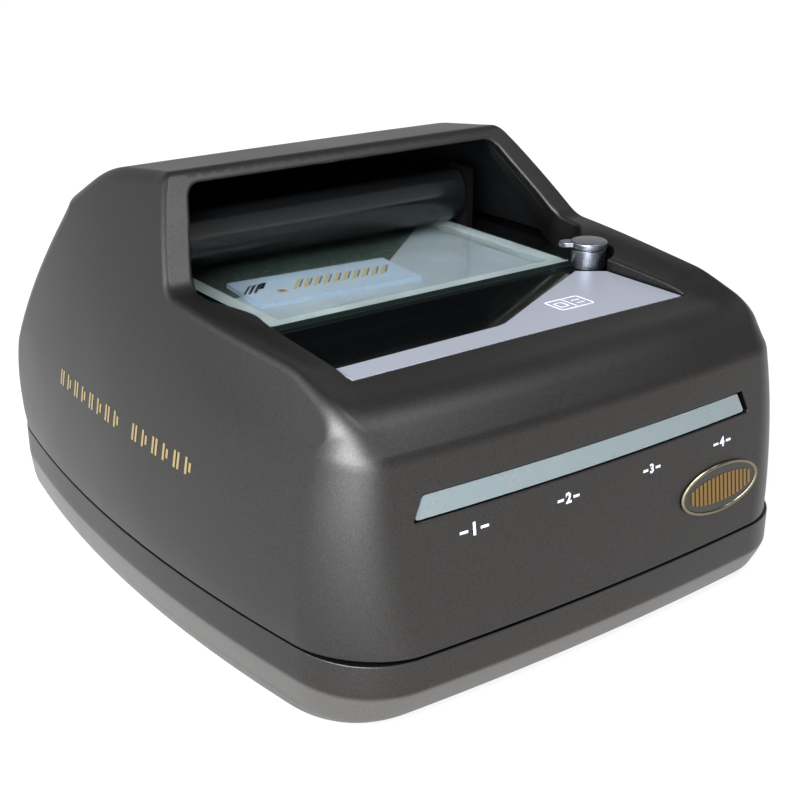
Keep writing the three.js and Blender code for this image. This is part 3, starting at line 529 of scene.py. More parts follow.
def mouth_side():
    """One side of the mouth seen from the front, from the pillar's foot up to the lintel, as (x, z)."""
    heights = np.linspace(HOOD_FOOT_Z + FACE_START_RISE, LINTEL_Z - FACE_STOP_DROP, 9)
    face = [(mouth_half(z), z, 0) for z in heights]
    face += [(mouth_half(LINTEL_Z) + LINTEL_SPREAD, LINTEL_Z, MOUTH_CORNER), (0, LINTEL_Z, 0)]
    return refined(rounded(face, 10, closed=False), OPENING_SPACING)


def opening_side(with_notch):
    """One side of the bay and the mouth, from the lip to the lintel, as pairs and the axes they are in."""
    plan = opening_plan(with_notch)
    face = mouth_side()
    return np.concatenate([plan, face]), np.array([PLAN] * len(plan) + [ELEVATION] * len(face))


def opening_loop():
    right, right_axes = opening_side(True)
    left, left_axes = opening_side(False)
    left = (left * (-1, 1))[::-1][:-1]
    left_axes = left_axes[::-1][:-1]
    return np.concatenate([right, left[1:]]), np.concatenate([right_axes, left_axes[1:]])


# The half width by which x is divided for a first guess at a.
GUESS_HALF = 92


def first_guess(pairs, axes):
    rising = np.searchsorted(DENSE_PROFILE[:, 0], HOOD_TOP_Y)
    by_y = np.interp(pairs[:, 1], DENSE_PROFILE[:, 0], PROFILE_Q)
    by_z = np.interp(pairs[:, 1], DENSE_PROFILE[:rising, 1], PROFILE_Q[:rising])
    return pairs[:, 0] / GUESS_HALF, np.where(axes[:, 1] == 1, by_y, by_z)


def on_case(pairs, axes=ELEVATION):
    """The case's surface at pairs of coordinates: parameters, points and normals."""
    pairs = np.asarray(pairs, float)
    axes = np.broadcast_to(np.asarray(axes), pairs.shape)
    a, q = locate(pairs, axes, *first_guess(pairs, axes))
    return a, q, case_point(a, q), case_normal(a, q)


def hole_rows(pairs, axes, edge):
    """The rounded edge round a hole: where it starts on the surface, its corner and its wall."""
    outward = loop_normals(pairs)
    a, q, start, start_normals = on_case(pairs + outward * edge, axes)
    corner = on_case(pairs, axes)[2]
    lateral = np.zeros_like(corner)
    rows = np.arange(len(pairs))[:, None]
    lateral[rows, axes] = -outward
    return np.stack([p_from_a(a), q], axis=1), start, start_normals, corner, unit(lateral)


LINE_SPACING = 6.0


def q_of_place(point):
    return PROFILE_Q[np.argmin(np.linalg.norm(DENSE_PROFILE - point, axis=1))]


def profile_lines():
    """Where the grid lines cross the side outline: close in its curves, wider between them."""
    lines = [SEAM_EDGE]
    previous = SIDE_CORNERS[0][:2]
    for i in range(1, len(SIDE_CORNERS) - 1):
        a, b, radius = SIDE_CORNERS[i]
        start, control, end = fillet(SIDE_CORNERS[i - 1][:2], (a, b), SIDE_CORNERS[i + 1][:2], radius)
        stretch = refined([previous, start], LINE_SPACING)[1:]
        curve = quadratic(start, control, end, np.linspace(0, 1, 13)[1:, None])
        lines += [q_of_place(point) for point in np.concatenate([stretch, curve])]
        previous = end
    tail = refined([previous, SIDE_CORNERS[-1][:2]], LINE_SPACING)[1:-1]
    lines += [q_of_place(point) for point in tail]
    lines.append(PROFILE_LENGTH - SEAM_EDGE)
    return np.unique(np.round(lines, 3))


def across_lines():
    flat = np.linspace(0, FLAT_P, 14)
    edge = FLAT_P + EDGE_P * np.linspace(0, 1, 15)[1:]
    right = np.concatenate([flat, edge])
    return np.concatenate([-right[::-1], right[1:]])


# The slot of the light bar and its place on the front.
BAR_Z = LIP_Z - 32.7
BAR_HEIGHT = 7.1
BAR_HALF = 68.0
BAR_SLANT = 3.3
SLOT_GAP = 0.25
SLOT_EDGE = 0.5
BAR_CORNER = 0.8


def bar_outline(grow):
    low = BAR_Z - grow
    high = BAR_Z + BAR_HEIGHT + grow
    corners = [
        (BAR_HALF + grow, low, BAR_CORNER),
        (BAR_HALF - BAR_SLANT + grow, high, BAR_CORNER),
        (-BAR_HALF + BAR_SLANT - grow, high, BAR_CORNER),
        (-BAR_HALF - grow, low, BAR_CORNER),
    ]
    return refined(rounded(corners, 5), 2.5, closed=True)


def side_face_normal(y, z):
    """The outward normals of the right side at places in (y, z)."""
    def at(v, w):
        return bowed(np.full_like(v, HALF), v, w)

    normals = surface_normals(at, y, z, NORMAL_STEP, NORMAL_STEP)
    return normals * np.sign(normals[:, :1])


def upper_case():
    """The case above the seam: outer skin, rounded bay and mouth, light bar slot, inner skin."""
    skin = Skin()
    q_lines = profile_lines()
    p_lines = across_lines()
    grid = np.array([(p, q) for q in q_lines for p in p_lines])
    opening = hole_rows(*opening_loop(), OPENING_EDGE)
    slot = hole_rows(bar_outline(SLOT_GAP), ELEVATION, SLOT_EDGE)
    flat, triangles, loops = trimmed_sheet(grid, [opening[0], slot[0]])
    a, q = a_from_p(flat[:, 0]), flat[:, 1]
    ids, inner = skin.wall(case_point(a, q), case_normal(a, q), triangles, WALL)

    _, start, start_normals, corner, wall_normals = opening
    wall_stop = opening_wall(corner)
    end = corner + unit(wall_stop - corner) * OPENING_EDGE
    row = rolled_edge(skin, ids[loops[0]], start, corner, end, start_normals, wall_normals)
    row = skin.extend(row, wall_stop, wall_normals)
    row = skin.extend(row, wall_stop - RETURN_WALL * wall_normals, -wall_normals)
    skin.band(row, inner[loops[0]])

    _, start, start_normals, corner, wall_normals = slot
    end = corner - start_normals * SLOT_EDGE
    row = rolled_edge(skin, ids[loops[1]], start, corner, end, start_normals, wall_normals, 4)
    row = skin.extend(row, corner - start_normals * WALL, wall_normals)
    skin.band(row, inner[loops[1]])

    for side in (-1, 1):
        side_face(skin, q_lines, side)
    close_seam(skin, q_lines)
    return skin.build("case_upper")


# Where the wall of the opening turns from the bay's into the hood's and then the lintel's, and where the bay's ends.
HOOD_TURN_Z = (HOOD_FOOT_Z - 0.5, HOOD_FOOT_Z + 9)
LINTEL_TURN_Z = (LINTEL_Z - 10, LINTEL_Z)
BAY_WALL_END_Z = DECK_Z - 2.4


def opening_wall(corner):
    """How deep the wall below each point of the opening goes: down to the deck, or back into the hood."""
    x, y, z = corner.T
    into_hood = smooth(*HOOD_TURN_Z, z)
    back_run = MOUTH_RETURN + (LINTEL_RETURN - MOUTH_RETURN) * smooth(*LINTEL_TURN_Z, z)
    return np.stack([x, y + into_hood * back_run, z + (1 - into_hood) * (BAY_WALL_END_Z - z)], axis=1)


def side_outline(q_lines):
    """The edge of a side face in (y, z), where the rounding of the front, top and back ends."""
    _, y, z = unbowed(np.full(len(q_lines), 2.0), q_lines)
    return np.stack([y, z], axis=1)


SIDE_SPACING = 7.0
SIDE_ROWS = 6.0
SIDE_CLEARANCE = 2.5


def side_face(skin, q_lines, side):
    """The broad face of one side, outside and inside."""
    edge = side_outline(q_lines)
    bottom = refined([edge[-1], edge[0]], SIDE_SPACING)[1:-1]
    outline = np.concatenate([edge, bottom])
    columns = np.arange(FRONT, BACK, SIDE_SPACING)
    rows = np.arange(SEAM_Z + SEAM_EDGE + SIDE_ROWS, HEIGHT, SIDE_ROWS)
    flat, triangles, _ = filled_outline(outline, columns, rows, SIDE_CLEARANCE)
    y, z = flat[:, 0], flat[:, 1]
    mirror = np.array([side, 1, 1])
    skin.wall(bowed(np.full(len(y), HALF), y, z) * mirror, side_face_normal(y, z) * mirror, triangles, WALL)


def close_seam(skin, q_lines):
    """The rounded lower edge of the case and its flat foot along the seam."""
    outer, outward = seam_loop(q_lines)
    foot = outer.copy()
    foot[:, 2] = SEAM_Z
    first = skin.add(outer, outward)
    last = rolled_edge(skin, first, outer, foot, foot - outward * SEAM_EDGE, outward, DOWN, 3)
    inner = foot - outward * WALL
    skin.extend(last, inner, DOWN)
    skin.extend(skin.add(inner, -outward), outer - outward * WALL, -outward)


def seam_loop(q_lines):
    """The closed line round the case just above the seam, with its outward directions."""
    a = a_from_p(across_lines())
    low_q = np.full(len(a), q_lines[0])
    high_q = np.full(len(a), q_lines[-1])
    edge = side_outline(q_lines)
    y, z = refined([edge[0], edge[-1]], SIDE_SPACING)[1:-1].T
    right = bowed(np.full(len(y), HALF), y, z)
    right_out = side_face_normal(y, z)
    mirror = np.array([-1, 1, 1])
    points = [case_point(a, low_q), right, case_point(a[::-1], high_q), right[::-1] * mirror]
    normals = [case_normal(a, low_q), right_out, case_normal(a[::-1], high_q), right_out[::-1] * mirror]
    normals = np.concatenate(normals)
    normals[:, 2] = 0
    return np.concatenate(points), unit(normals)


# The base tray.
BASE_TOP_Z = SEAM_Z - SEAM_GAP
BASE_BOTTOM_Z = 2.5
BAND_BOTTOM_Z = 14.5
BASE_SIDE_INSET = 1.8
BASE_FRONT_INSET = 8.0
BASE_BACK_INSET = 2.5
BASE_WALL = 2.5
BASE_EDGE = 1.2
BASE_SPACING = 12.0
BASE_CLEARANCE = 4

# Heights of the tray's outline with the share of the inset that each has, from the seam down.
BASE_LEVELS = (
    (BASE_TOP_Z - SEAM_EDGE, 0.0), (21.0, 0.0), (17.5, 0.0), (BAND_BOTTOM_Z + 0.5, 0.0),
    (BAND_BOTTOM_Z - 0.5, 0.035), (12.5, 0.12), (10.5, 0.24), (8.0, 0.42), (BASE_BOTTOM_Z + 3, 0.6),
    (BASE_BOTTOM_Z + BASE_EDGE, 0.84),
)

# How many parts the straight stretches of the outline are cut into, and what counts as one.
STRAIGHT_PARTS = (14, 8, 8, 14, 8, 8)
SHORTEST_STRAIGHT = 12

# How much of the front's slope the normals of the rings take.
SLOPE_SHARE = 0.6


def plan_ring(z, share):
    """The outline of the base tray at one level, drawn in by a share of its insets."""
    side = BASE_SIDE_INSET * share
    half = half_width(SEAM_Z) - side
    y0 = FRONT + BASE_FRONT_INSET * share
    y1 = BACK - BASE_BACK_INSET * share
    radius = CORNER_RADIUS - side
    corners = [
        (half, y0, radius), (half, y1, radius), (0, y1, 0), (-half, y1, radius), (-half, y0, radius), (0, y0, 0),
    ]
    ring = rounded(corners, 18)
    counts = iter(STRAIGHT_PARTS)
    stretches = []
    for a, b in zip(ring, np.roll(ring, -1, axis=0)):
        parts = next(counts) if np.linalg.norm(b - a) > SHORTEST_STRAIGHT else 1
        stretches.append(a + (b - a) * (np.arange(parts) / parts)[:, None])
    x, y = np.concatenate(stretches).T
    px = x * (1 - SIDE_BOW * (y / BOW_HALF_LENGTH) ** 2)
    return np.stack([px, y * (1 - FRONT_BOW * (px / BOW_HALF_WIDTH) ** 2), np.full(len(px), z)], axis=1)


def ring_normals(ring, slope):
    return unit(np.column_stack([loop_normals(ring[:, :2]), np.full(len(ring), slope)]))


def base_tray():
    """The tray below the seam: outer wall, flat bottom, rounded top edge and inner wall."""
    skin = Skin()
    rings = [plan_ring(z, share) for z, share in BASE_LEVELS]
    rows = []
    for k, ring in enumerate(rings):
        above_z, above_share = BASE_LEVELS[max(0, k - 1)]
        below_z, below_share = BASE_LEVELS[min(len(rings) - 1, k + 1)]
        drawn = (below_share - above_share) * BASE_FRONT_INSET * SLOPE_SHARE
        rows.append(skin.add(ring, ring_normals(ring, -drawn / (above_z - below_z))))
    for upper, lower in zip(rows, rows[1:]):
        skin.band(upper, lower)

    corner = plan_ring(BASE_BOTTOM_Z, 1)
    end = corner - ring_normals(rings[-1], 0) * BASE_EDGE
    rolled_edge(skin, rows[-1], rings[-1], corner, end, skin.normals[-1], DOWN)
    columns = np.arange(-HALF, HALF, BASE_SPACING)
    lines = np.arange(FRONT, BACK, BASE_SPACING)
    flat, triangles, _ = filled_outline(end[:, :2], columns, lines, BASE_CLEARANCE)
    plate = np.column_stack([flat, np.full(len(flat), BASE_BOTTOM_Z)])
    skin.wall(plate, DOWN, triangles, BASE_WALL)

    outward = ring_normals(rings[0], 0)
    corner = rings[0].copy()
    corner[:, 2] = BASE_TOP_Z
    last = rolled_edge(skin, rows[0], rings[0], corner, corner - outward * SEAM_EDGE, outward, -DOWN, 3)
    inner = corner - outward * BASE_WALL
    skin.extend(last, inner, -DOWN)
    skin.extend(skin.add(inner, -outward), end + (0, 0, BASE_WALL), -ring_normals(end, 0))
    return skin.build("case_base")


# Pieces of the bay and the hood.
FLAP_RADIUS = 12.0
FLAP_THICKNESS = 2.0
FLAP_HALF = GLASS_WIDTH / 2 - 0.6
FLAP_Y = GLASS_BACK_Y - 20.0
FLAP_Z = GLASS_TOP_Z + 0.3 + FLAP_RADIUS
FLAP_BOTTOM_ANGLE = 268.0
KNUCKLE_RADIUS = 3.8
KNUCKLE_ANGLE = 135.5
KNUCKLE_REACH = FLAP_RADIUS - KNUCKLE_RADIUS - 0.1
BORE_RADIUS = 2.8


def arc(centre, radius, start, stop, steps):
    angles = np.radians(np.linspace(start, stop, steps))
    return np.stack([centre[0] + radius * np.cos(angles), centre[1] + radius * np.sin(angles)], axis=1)


def flap_section():
    """The flap's outline in (y, z): a tube wall, a rounded lower edge and the knuckle at its top."""
    centre = np.array([FLAP_Y, FLAP_Z])
    inner = FLAP_RADIUS - FLAP_THICKNESS
    knuckle_angle = math.radians(KNUCKLE_ANGLE)
    knuckle = centre + KNUCKLE_REACH * np.array([math.cos(knuckle_angle), math.sin(knuckle_angle)])
    share = (inner**2 - KNUCKLE_REACH**2 - KNUCKLE_RADIUS**2) / (2 * KNUCKLE_REACH * KNUCKLE_RADIUS)
    meet = math.degrees(math.acos(share))
    outer_arc = arc(centre, FLAP_RADIUS, FLAP_BOTTOM_ANGLE, KNUCKLE_ANGLE + 2, 48)
    round_knuckle = arc(knuckle, KNUCKLE_RADIUS, KNUCKLE_ANGLE, KNUCKLE_ANGLE + meet - 360, 40)
    landing = round_knuckle[-1] - centre
    landing_angle = math.degrees(math.atan2(landing[1], landing[0])) % 360
    inner_arc = arc(centre, inner, landing_angle, FLAP_BOTTOM_ANGLE, 40)[1:]
    tip = math.radians(FLAP_BOTTOM_ANGLE)
    tip_centre = centre + (inner + FLAP_THICKNESS / 2) * np.array([math.cos(tip), math.sin(tip)])
    tip_round = arc(tip_centre, FLAP_THICKNESS / 2, FLAP_BOTTOM_ANGLE + 180, FLAP_BOTTOM_ANGLE, 9)[1:-1]
    return np.concatenate([outer_arc, round_knuckle, inner_arc, tip_round[::-1]]), knuckle


def extruded_x(name, outline, half, bore):
    """A prism along x with an outline in (y, z) and a round bore, given as centre and radius, through it."""
    form = bmesh.new()
    ends = {-1: [], 1: []}
    for loop in (outline, arc(*bore, 0, 360, 41)[:-1]):
        count = len(loop)
        rows = {}
        for side in ends:
            rows[side] = [form.verts.new((side * half * MM, y * MM, z * MM)) for y, z in loop]
            ends[side] += [form.edges.new((rows[side][i], rows[side][(i + 1) % count])) for i in range(count)]
        for i in range(count):
            j = (i + 1) % count
            form.faces.new((rows[-1][i], rows[-1][j], rows[1][j], rows[1][i]))
    for side in ends:
        bmesh.ops.triangle_fill(form, use_beauty=True, edges=ends[side])
    bmesh.ops.recalc_face_normals(form, faces=form.faces)
    return object_from(form, name)


def object_from(form, name):
    mesh = bpy.data.meshes.new(name)
    form.to_mesh(mesh)
    form.free()
    return add_object(name, mesh)


def round_edges(piece, width, segments, angle):
    """Small rounded edges where faces meet at more than an angle."""
    bevel = piece.modifiers.new("edges", "BEVEL")
    bevel.width = width * MM
    bevel.segments = segments
    bevel.limit_method = "ANGLE"
    bevel.angle_limit = math.radians(angle)
    return bevel


def soften(piece, width, segments=2, angle=35):
    """Smooth shading with small rounded edges."""
    piece.data.shade_smooth()
    round_edges(piece, width, segments, angle).harden_normals = True
    return piece


LATHE_SIDES = 72


def lathe(name, profile, x, y):
    """A turned piece about an upright axis from a profile of (radius, z) points."""
    rings = []
    points = []
    for radius, z in profile:
        if radius < 1e-6:
            rings.append([len(points)])
            points.append((x, y, z))
            continue
        rings.append(list(range(len(points), len(points) + LATHE_SIDES)))
        for k in range(LATHE_SIDES):
            angle = 2 * math.pi * k / LATHE_SIDES
            points.append((x + radius * math.cos(angle), y + radius * math.sin(angle), z))
    faces = []
    for low, high in zip(rings, rings[1:]):
        for k in range(LATHE_SIDES):
            j = (k + 1) % LATHE_SIDES
            if len(low) == 1:
                faces.append([low[0], high[j], high[k]])
            elif len(high) == 1:
                faces.append([low[k], low[j], high[0]])
            else:
                faces.append([low[k], low[j], high[j], high[k]])
    return mesh_object(name, points, faces)


def sharpen(piece, angle):
    """Smooth shading that breaks at edges over an angle."""
    piece.data.shade_smooth()
    form = bmesh.new()
    form.from_mesh(piece.data)
    limit = math.radians(angle)
    for edge in form.edges:
        edge.smooth = len(edge.link_faces) == 2 and edge.calc_face_angle(0) < limit
    form.to_mesh(piece.data)
    form.free()
    return piece


def prism(name, outline, low_z, high_z):
    """An upright prism with an outline in (x, y)."""
    form = bmesh.new()
    low = [form.verts.new((x * MM, y * MM, low_z * MM)) for x, y in outline]
    face = form.faces.new(low)
    lifted = bmesh.ops.extrude_face_region(form, geom=[face])
    for item in lifted["geom"]:
        if isinstance(item, bmesh.types.BMVert):
            item.co.z = high_z * MM
    bmesh.ops.recalc_face_normals(form, faces=form.faces)
    return object_from(form, name)


def joined(name, pieces):
    """One object out of several, in the order given."""
    form = bmesh.new()
    for piece in pieces:
        form.from_mesh(piece.data)
    whole = object_from(form, name)
    for piece in pieces:
        bpy.data.objects.remove(piece)
    return whole


def turned(x, y, angle):
    turn = math.radians(angle)
    return x * math.cos(turn) - y * math.sin(turn), x * math.sin(turn) + y * math.cos(turn)


def corners_of(x0, y0, x1, y1, radius):
    """The corners of a rectangle, each with its radius."""
    return [(x0, y0, radius), (x1, y0, radius), (x1, y1, radius), (x0, y1, radius)]


# The turn latch beside the glass: a knob with a groove below its head, and a tongue.
KNOB_RADIUS = 6.6
KNOB_TOP_Z = DECK_Z + 9.6
TONGUE_ANGLE = 144.0
TONGUE_SHAPE = ((0, -3.1, 0), (9.2, -2.7, 2.5), (11.0, 0, 1.5), (9.2, 2.7, 2.5), (0, 3.1, 0))


def knob():
    low = DECK_Z + 0.1
    shank = KNOB_RADIUS - 0.5
    groove = KNOB_RADIUS - 1.1
    profile = [
        (0, low, 0), (shank, low, 0.3), (shank, KNOB_TOP_Z - 3.0, 0.2),
        (groove, KNOB_TOP_Z - 2.8, 0.1), (groove, KNOB_TOP_Z - 2.5, 0.1),
        (KNOB_RADIUS, KNOB_TOP_Z - 2.3, 0.3), (KNOB_RADIUS, KNOB_TOP_Z - 0.1, 0.7), (0, KNOB_TOP_Z, 0),
    ]
    body = sharpen(lathe("latch_body", rounded(profile, 5, closed=False), KNOB_X, KNOB_Y), 40)
    x, y = turned(*rounded(TONGUE_SHAPE, 6).T, TONGUE_ANGLE)
    outline = np.stack([KNOB_X + x, KNOB_Y + y], axis=1)
    tongue = prism("latch_tongue", outline, KNOB_TOP_Z - 2.2, KNOB_TOP_Z - 0.4)
    return body, soften(tongue, 0.35, 3)


# The plate on the deck, in front of the glass.
LABEL_TOP_Z = DECK_Z + 0.5
LABEL_GAP = 1
LABEL_FRONT_Y = LIP_Y + 0.8
LABEL_REAR = (
    (KNOB_X - KNOB_RADIUS - 2.6, KNOB_Y - 3.2), (29.1, LIP_Y + 28.6), (-1.0, LIP_Y + 12.9),
    (-BAY_HALF + LABEL_GAP, LIP_Y + 11.2),
)


def deck_plate():
    half = BAY_HALF - LABEL_GAP
    front = [(-half, LABEL_FRONT_Y), (half, LABEL_FRONT_Y), (half, KNOB_Y - KNOB_RADIUS - 3.4)]
    rear = rounded([(x, y, 14 if x < 0 else 0.6) for x, y in LABEL_REAR], 8, closed=False)
    outline = np.concatenate([np.array(front), rear])
    return soften(prism("deck_plate", outline, DECK_Z, LABEL_TOP_Z), 0.22, 2, 50)


def line_strip(name, path, width, low_z, high_z, closed):
    """A flat strip of even width along a path in (x, y)."""
    path = np.array(path, float)
    if closed:
        along = unit(np.roll(path, -1, axis=0) - np.roll(path, 1, axis=0))
    else:
        along = unit(np.gradient(path, axis=0))
    across = np.stack([-along[:, 1], along[:, 0]], axis=1) * width / 2
    left, right = path + across, path - across
    count = len(path)
    points = [(*p, z) for z in (low_z, high_z) for row in (left, right) for p in row]
    faces = []
    for i in range(count if closed else count - 1):
        j = (i + 1) % count
        faces.append([2 * count + i, 2 * count + j, 3 * count + j, 3 * count + i][::-1])
        faces.append([i, j, 2 * count + j, 2 * count + i][::-1])
        faces.append([count + i, count + j, 3 * count + j, 3 * count + i])
    return mesh_object(name, points, faces)


MARK_X = 31.0
MARK_Y = LIP_Y + 17.5
MARK_SUNK = 0.05
MARK_PROUD = 0.06


def plate_mark():
    """A plain mark on the plate: an open page with a square on its left half and two lines on its right."""
    x, y = MARK_X, MARK_Y
    page = rounded(corners_of(x - 7, y - 5, x + 7, y + 4, 1), 3)
    square = rounded(corners_of(x - 5.4, y - 2.6, x - 2, y + 1.4, 0.4), 2)
    strips = []
    for path, width, closed in (
        (page, 0.7, True),
        ([(x, y - 4.4), (x, y + 3.4)], 0.5, False),
        ([(x + 1.8, y - 2), (x + 5.4, y - 2)], 0.6, False),
        ([(x + 1.8, y + 0.8), (x + 5.4, y + 0.8)], 0.6, False),
        (square, 0.5, True),
    ):
        low_z, high_z = LABEL_TOP_Z - MARK_SUNK, LABEL_TOP_Z + MARK_PROUD
        strips.append(line_strip("mark_line", path, width, low_z, high_z, closed))
    return joined("deck_plate_mark", strips)


# The board seen through the glass and the two sheets below it.
BOARD_TURN = -5.0
WINDOW_HALF = GLASS_WIDTH / 2 - 6.5
BOARD_X = 36.0 - WINDOW_HALF
BOARD_Y = GLASS_FRONT_Y + 6.0 + 28.0
BOARD_TOP_Z = GLASS_TOP_Z - GLASS_THICKNESS - 0.3
SCREEN_SPLIT = (25.0, 4.0)
SCREEN_BACK = 16.0
SCREEN_INSET = 3
SCREEN_SHORT = 1.3
SCREEN_THICKNESS = 0.5
SCREEN_DROP = 1.6
MARK_LEAN = 0.7
GOLD_MARKS_X = np.linspace(-10.5, 23.5, 10)
COMB_X = np.linspace(-28.6, -24.6, 3)
# Places of the ticks on the dark sheet, a painted reflection of the board's gold marks.
REFLECTED_TICKS_X = np.linspace(-28, 22, 24)


def box_of(name):
    """A node's lowest and highest corners in millimetres."""
    return [np.array(corner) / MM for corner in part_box(name)]


def board_place(x, y):
    x, y = turned(x, y, BOARD_TURN)
    return BOARD_X + x, BOARD_Y + y


def window_sheets():
    """The screens below the board: a pale one in front and at the right, and a dark one at the rear left, which is
    painted shade put where the flap darkens the window.
    """
    low, high = box_of("glass_frame")
    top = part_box("window_board")[0][2] / MM
    left, front, back = low[0] + SCREEN_INSET, low[1] + SCREEN_INSET, high[1] - SCREEN_INSET
    right = WINDOW_HALF - SCREEN_SHORT
    split = board_place(*SCREEN_SPLIT)
    border = [(left, split[1] + 3), split, (right, back - SCREEN_BACK)]
    pale = [(left, front), (right, front), border[2], border[1], border[0]]
    # The dark sheet's outline follows the painted shade of the flap across the rear of the window.
    dark = [*border, (right, back), (left, back)]
    sheets = (("window_screen", pale), ("window_shade_sheet", dark))
    return [prism(name, outline, top - SCREEN_THICKNESS, top) for name, outline in sheets]


def window_glass():
    """The window pane: clear faces, ground edges and dark sides."""
    low, high = box_of("scan_glass")
    outline = rounded(corners_of(low[0], low[1], high[0], high[1], 1), 4)
    pane = soften(prism("window_pane", outline, low[2], high[2]), 0.3)
    for finish in ("glass", "glass_edge", "glass_side"):
        pane.data.materials.append(FINISH[finish])
    for face in pane.data.polygons:
        lean = abs(face.normal.z)
        face.material_index = 0 if lean > 0.95 else 1 if lean > 0.1 else 2
    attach(pane, "case")
    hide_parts("scan_glass")


def board_block(name, x, y, width, depth, low, high, lean):
    """A leaning block on the board, at a place in the board's own frame."""
    corners = [(-1, -1), (1, -1), (1, 1), (-1, 1)]
    outline = [board_place(x + sx * width / 2 + sy * lean * depth / 2, y + sy * depth / 2) for sx, sy in corners]
    return prism(name, outline, BOARD_TOP_Z + low, BOARD_TOP_Z + high)


def board_disc(name, x, y, radius, high):
    angles = np.linspace(0, 2 * math.pi, 32, endpoint=False)
    outline = [board_place(x + radius * math.cos(angle), y + radius * math.sin(angle)) for angle in angles]
    return prism(name, outline, BOARD_TOP_Z, BOARD_TOP_Z + high)


def board_row(name, places, *block):
    """A row of equal blocks on the board."""
    return joined(name, [board_block(name, x, *block) for x in places])


# The light bar, with the gap at its right end.
BAR_END_GAP = 1.9
BAR_GAP = 0.35
BAR_SUNK = 0.45
BAR_DEPTH = 3.0


def patch_on_case(name, outline, outside, inside_depth, spacing=2.0):
    """A piece of plate that follows the case's front inside an outline, between two depths."""
    columns = np.arange(outline[:, 0].min(), outline[:, 0].max(), spacing)
    rows = np.arange(outline[:, 1].min(), outline[:, 1].max(), spacing)
    flat, triangles, (loop,) = filled_outline(outline, columns, rows, spacing * 0.4)
    _, _, surface, normals = on_case(flat)
    high = surface + normals * outside
    low = surface - normals * inside_depth
    skin = Skin()
    skin.triangles(skin.add(high, normals), triangles)
    skin.triangles(skin.add(low, -normals), triangles)
    lateral = np.zeros((len(loop), 3))
    lateral[:, ELEVATION] = loop_normals(outline)
    skin.extend(skin.add(high[loop], lateral), low[loop], lateral)
    return skin.build(name)


def light_bar():
    low, high = BAR_Z + BAR_GAP, BAR_Z + BAR_HEIGHT - BAR_GAP / 2
    right = BAR_HALF - BAR_END_GAP
    left = -BAR_HALF + BAR_GAP
    corners = [
        (right, low, BAR_CORNER), (right - BAR_SLANT, high, BAR_CORNER), (left + BAR_SLANT, high, 1.6),
        (left, low, 0.9),
    ]
    outline = refined(rounded(corners, 5), 2.0, closed=True)
    return patch_on_case("light_bar_cover", outline, -BAR_SUNK, BAR_DEPTH)


# The badge: a bright rim round a dark face with upright gold ribs.
BADGE_X = 52.6
BADGE_Z = BAR_Z - 21.6
BADGE_HALF_WIDTH = 19.0
BADGE_HALF_HEIGHT = 8.0
BADGE_RIM = 1.2
BADGE_PROUD = 1.1
BADGE_RIM_FOOT = 0.3
FACE_PROUD = 0.62
FACE_FOOT = 0.3
RIB_COUNT = 15
RIB_PITCH = 2.0
RIB_HALF_WIDTH = 0.65
RIB_HALF_HEIGHT = 4.4
RIB_BORDER = 2.4
RIB_CORNER = 0.25
RIB_PROUD = 0.92
RIB_FOOT = 0.5


def badge_oval(inset):
    """The outline of the badge, drawn in by an inset, as (x, z)."""
    angles = np.linspace(0, 2 * math.pi, 72, endpoint=False)
    x = BADGE_X + (BADGE_HALF_WIDTH - inset) * np.cos(angles)
    return np.stack([x, BADGE_Z + (BADGE_HALF_HEIGHT - inset) * np.sin(angles)], axis=1)


def badge_rim():
    """A half-round ring that follows the case's surface."""
    skin = Skin()
    rows = []
    for angle in np.radians(np.linspace(0, 180, 11)):
        _, _, surface, normals = on_case(badge_oval(BADGE_RIM / 2 * (1 - math.cos(angle))))
        outward = unit(surface - surface.mean(axis=0))
        lift = BADGE_RIM_FOOT + (BADGE_PROUD - BADGE_RIM_FOOT) * math.sin(angle)
        facing = unit(outward * math.cos(angle) + normals * math.sin(angle))
        rows.append(skin.add(surface + normals * lift, facing))
    for first, second in zip(rows, rows[1:]):
        skin.band(first, second)
    return skin.build("badge_ring")


def badge_face():
    return patch_on_case("badge_plate", badge_oval(BADGE_RIM), FACE_PROUD, -FACE_FOOT, 1.6)


def badge_ribs():
    ribs = []
    for k in range(RIB_COUNT):
        x = BADGE_X + (k - RIB_COUNT // 2) * RIB_PITCH
        share = (x - BADGE_X) / (BADGE_HALF_WIDTH - RIB_BORDER)
        reach = math.sqrt(1 - share**2) * RIB_HALF_HEIGHT
        sides = ((1, -1), (1, 1), (-1, 1), (-1, -1))
        corners = [(x + sx * RIB_HALF_WIDTH, BADGE_Z + sz * reach, RIB_CORNER) for sx, sz in sides]
        outline = refined(rounded(corners, 3), 1.2, closed=True)
        ribs.append(patch_on_case(f"badge_rib_{k + 1}", outline, RIB_PROUD, -RIB_FOOT, 1.0))
    return joined("badge_ribs", ribs)


# Printed marks on the front: numerals with a dash on either side, each at its x and with its size.
PRINT_PROUD = 0.05
NUMERAL_Z = 58.4
NUMERALS = ((-48.5, 5.2), (-13.7, 4.4), (21.1, 3.9), (54.3, 4.4))
NUMERAL_WEIGHT = 0.042
DASH_HALF = 0.42
DASH_REACH = (0.42, 0.98)


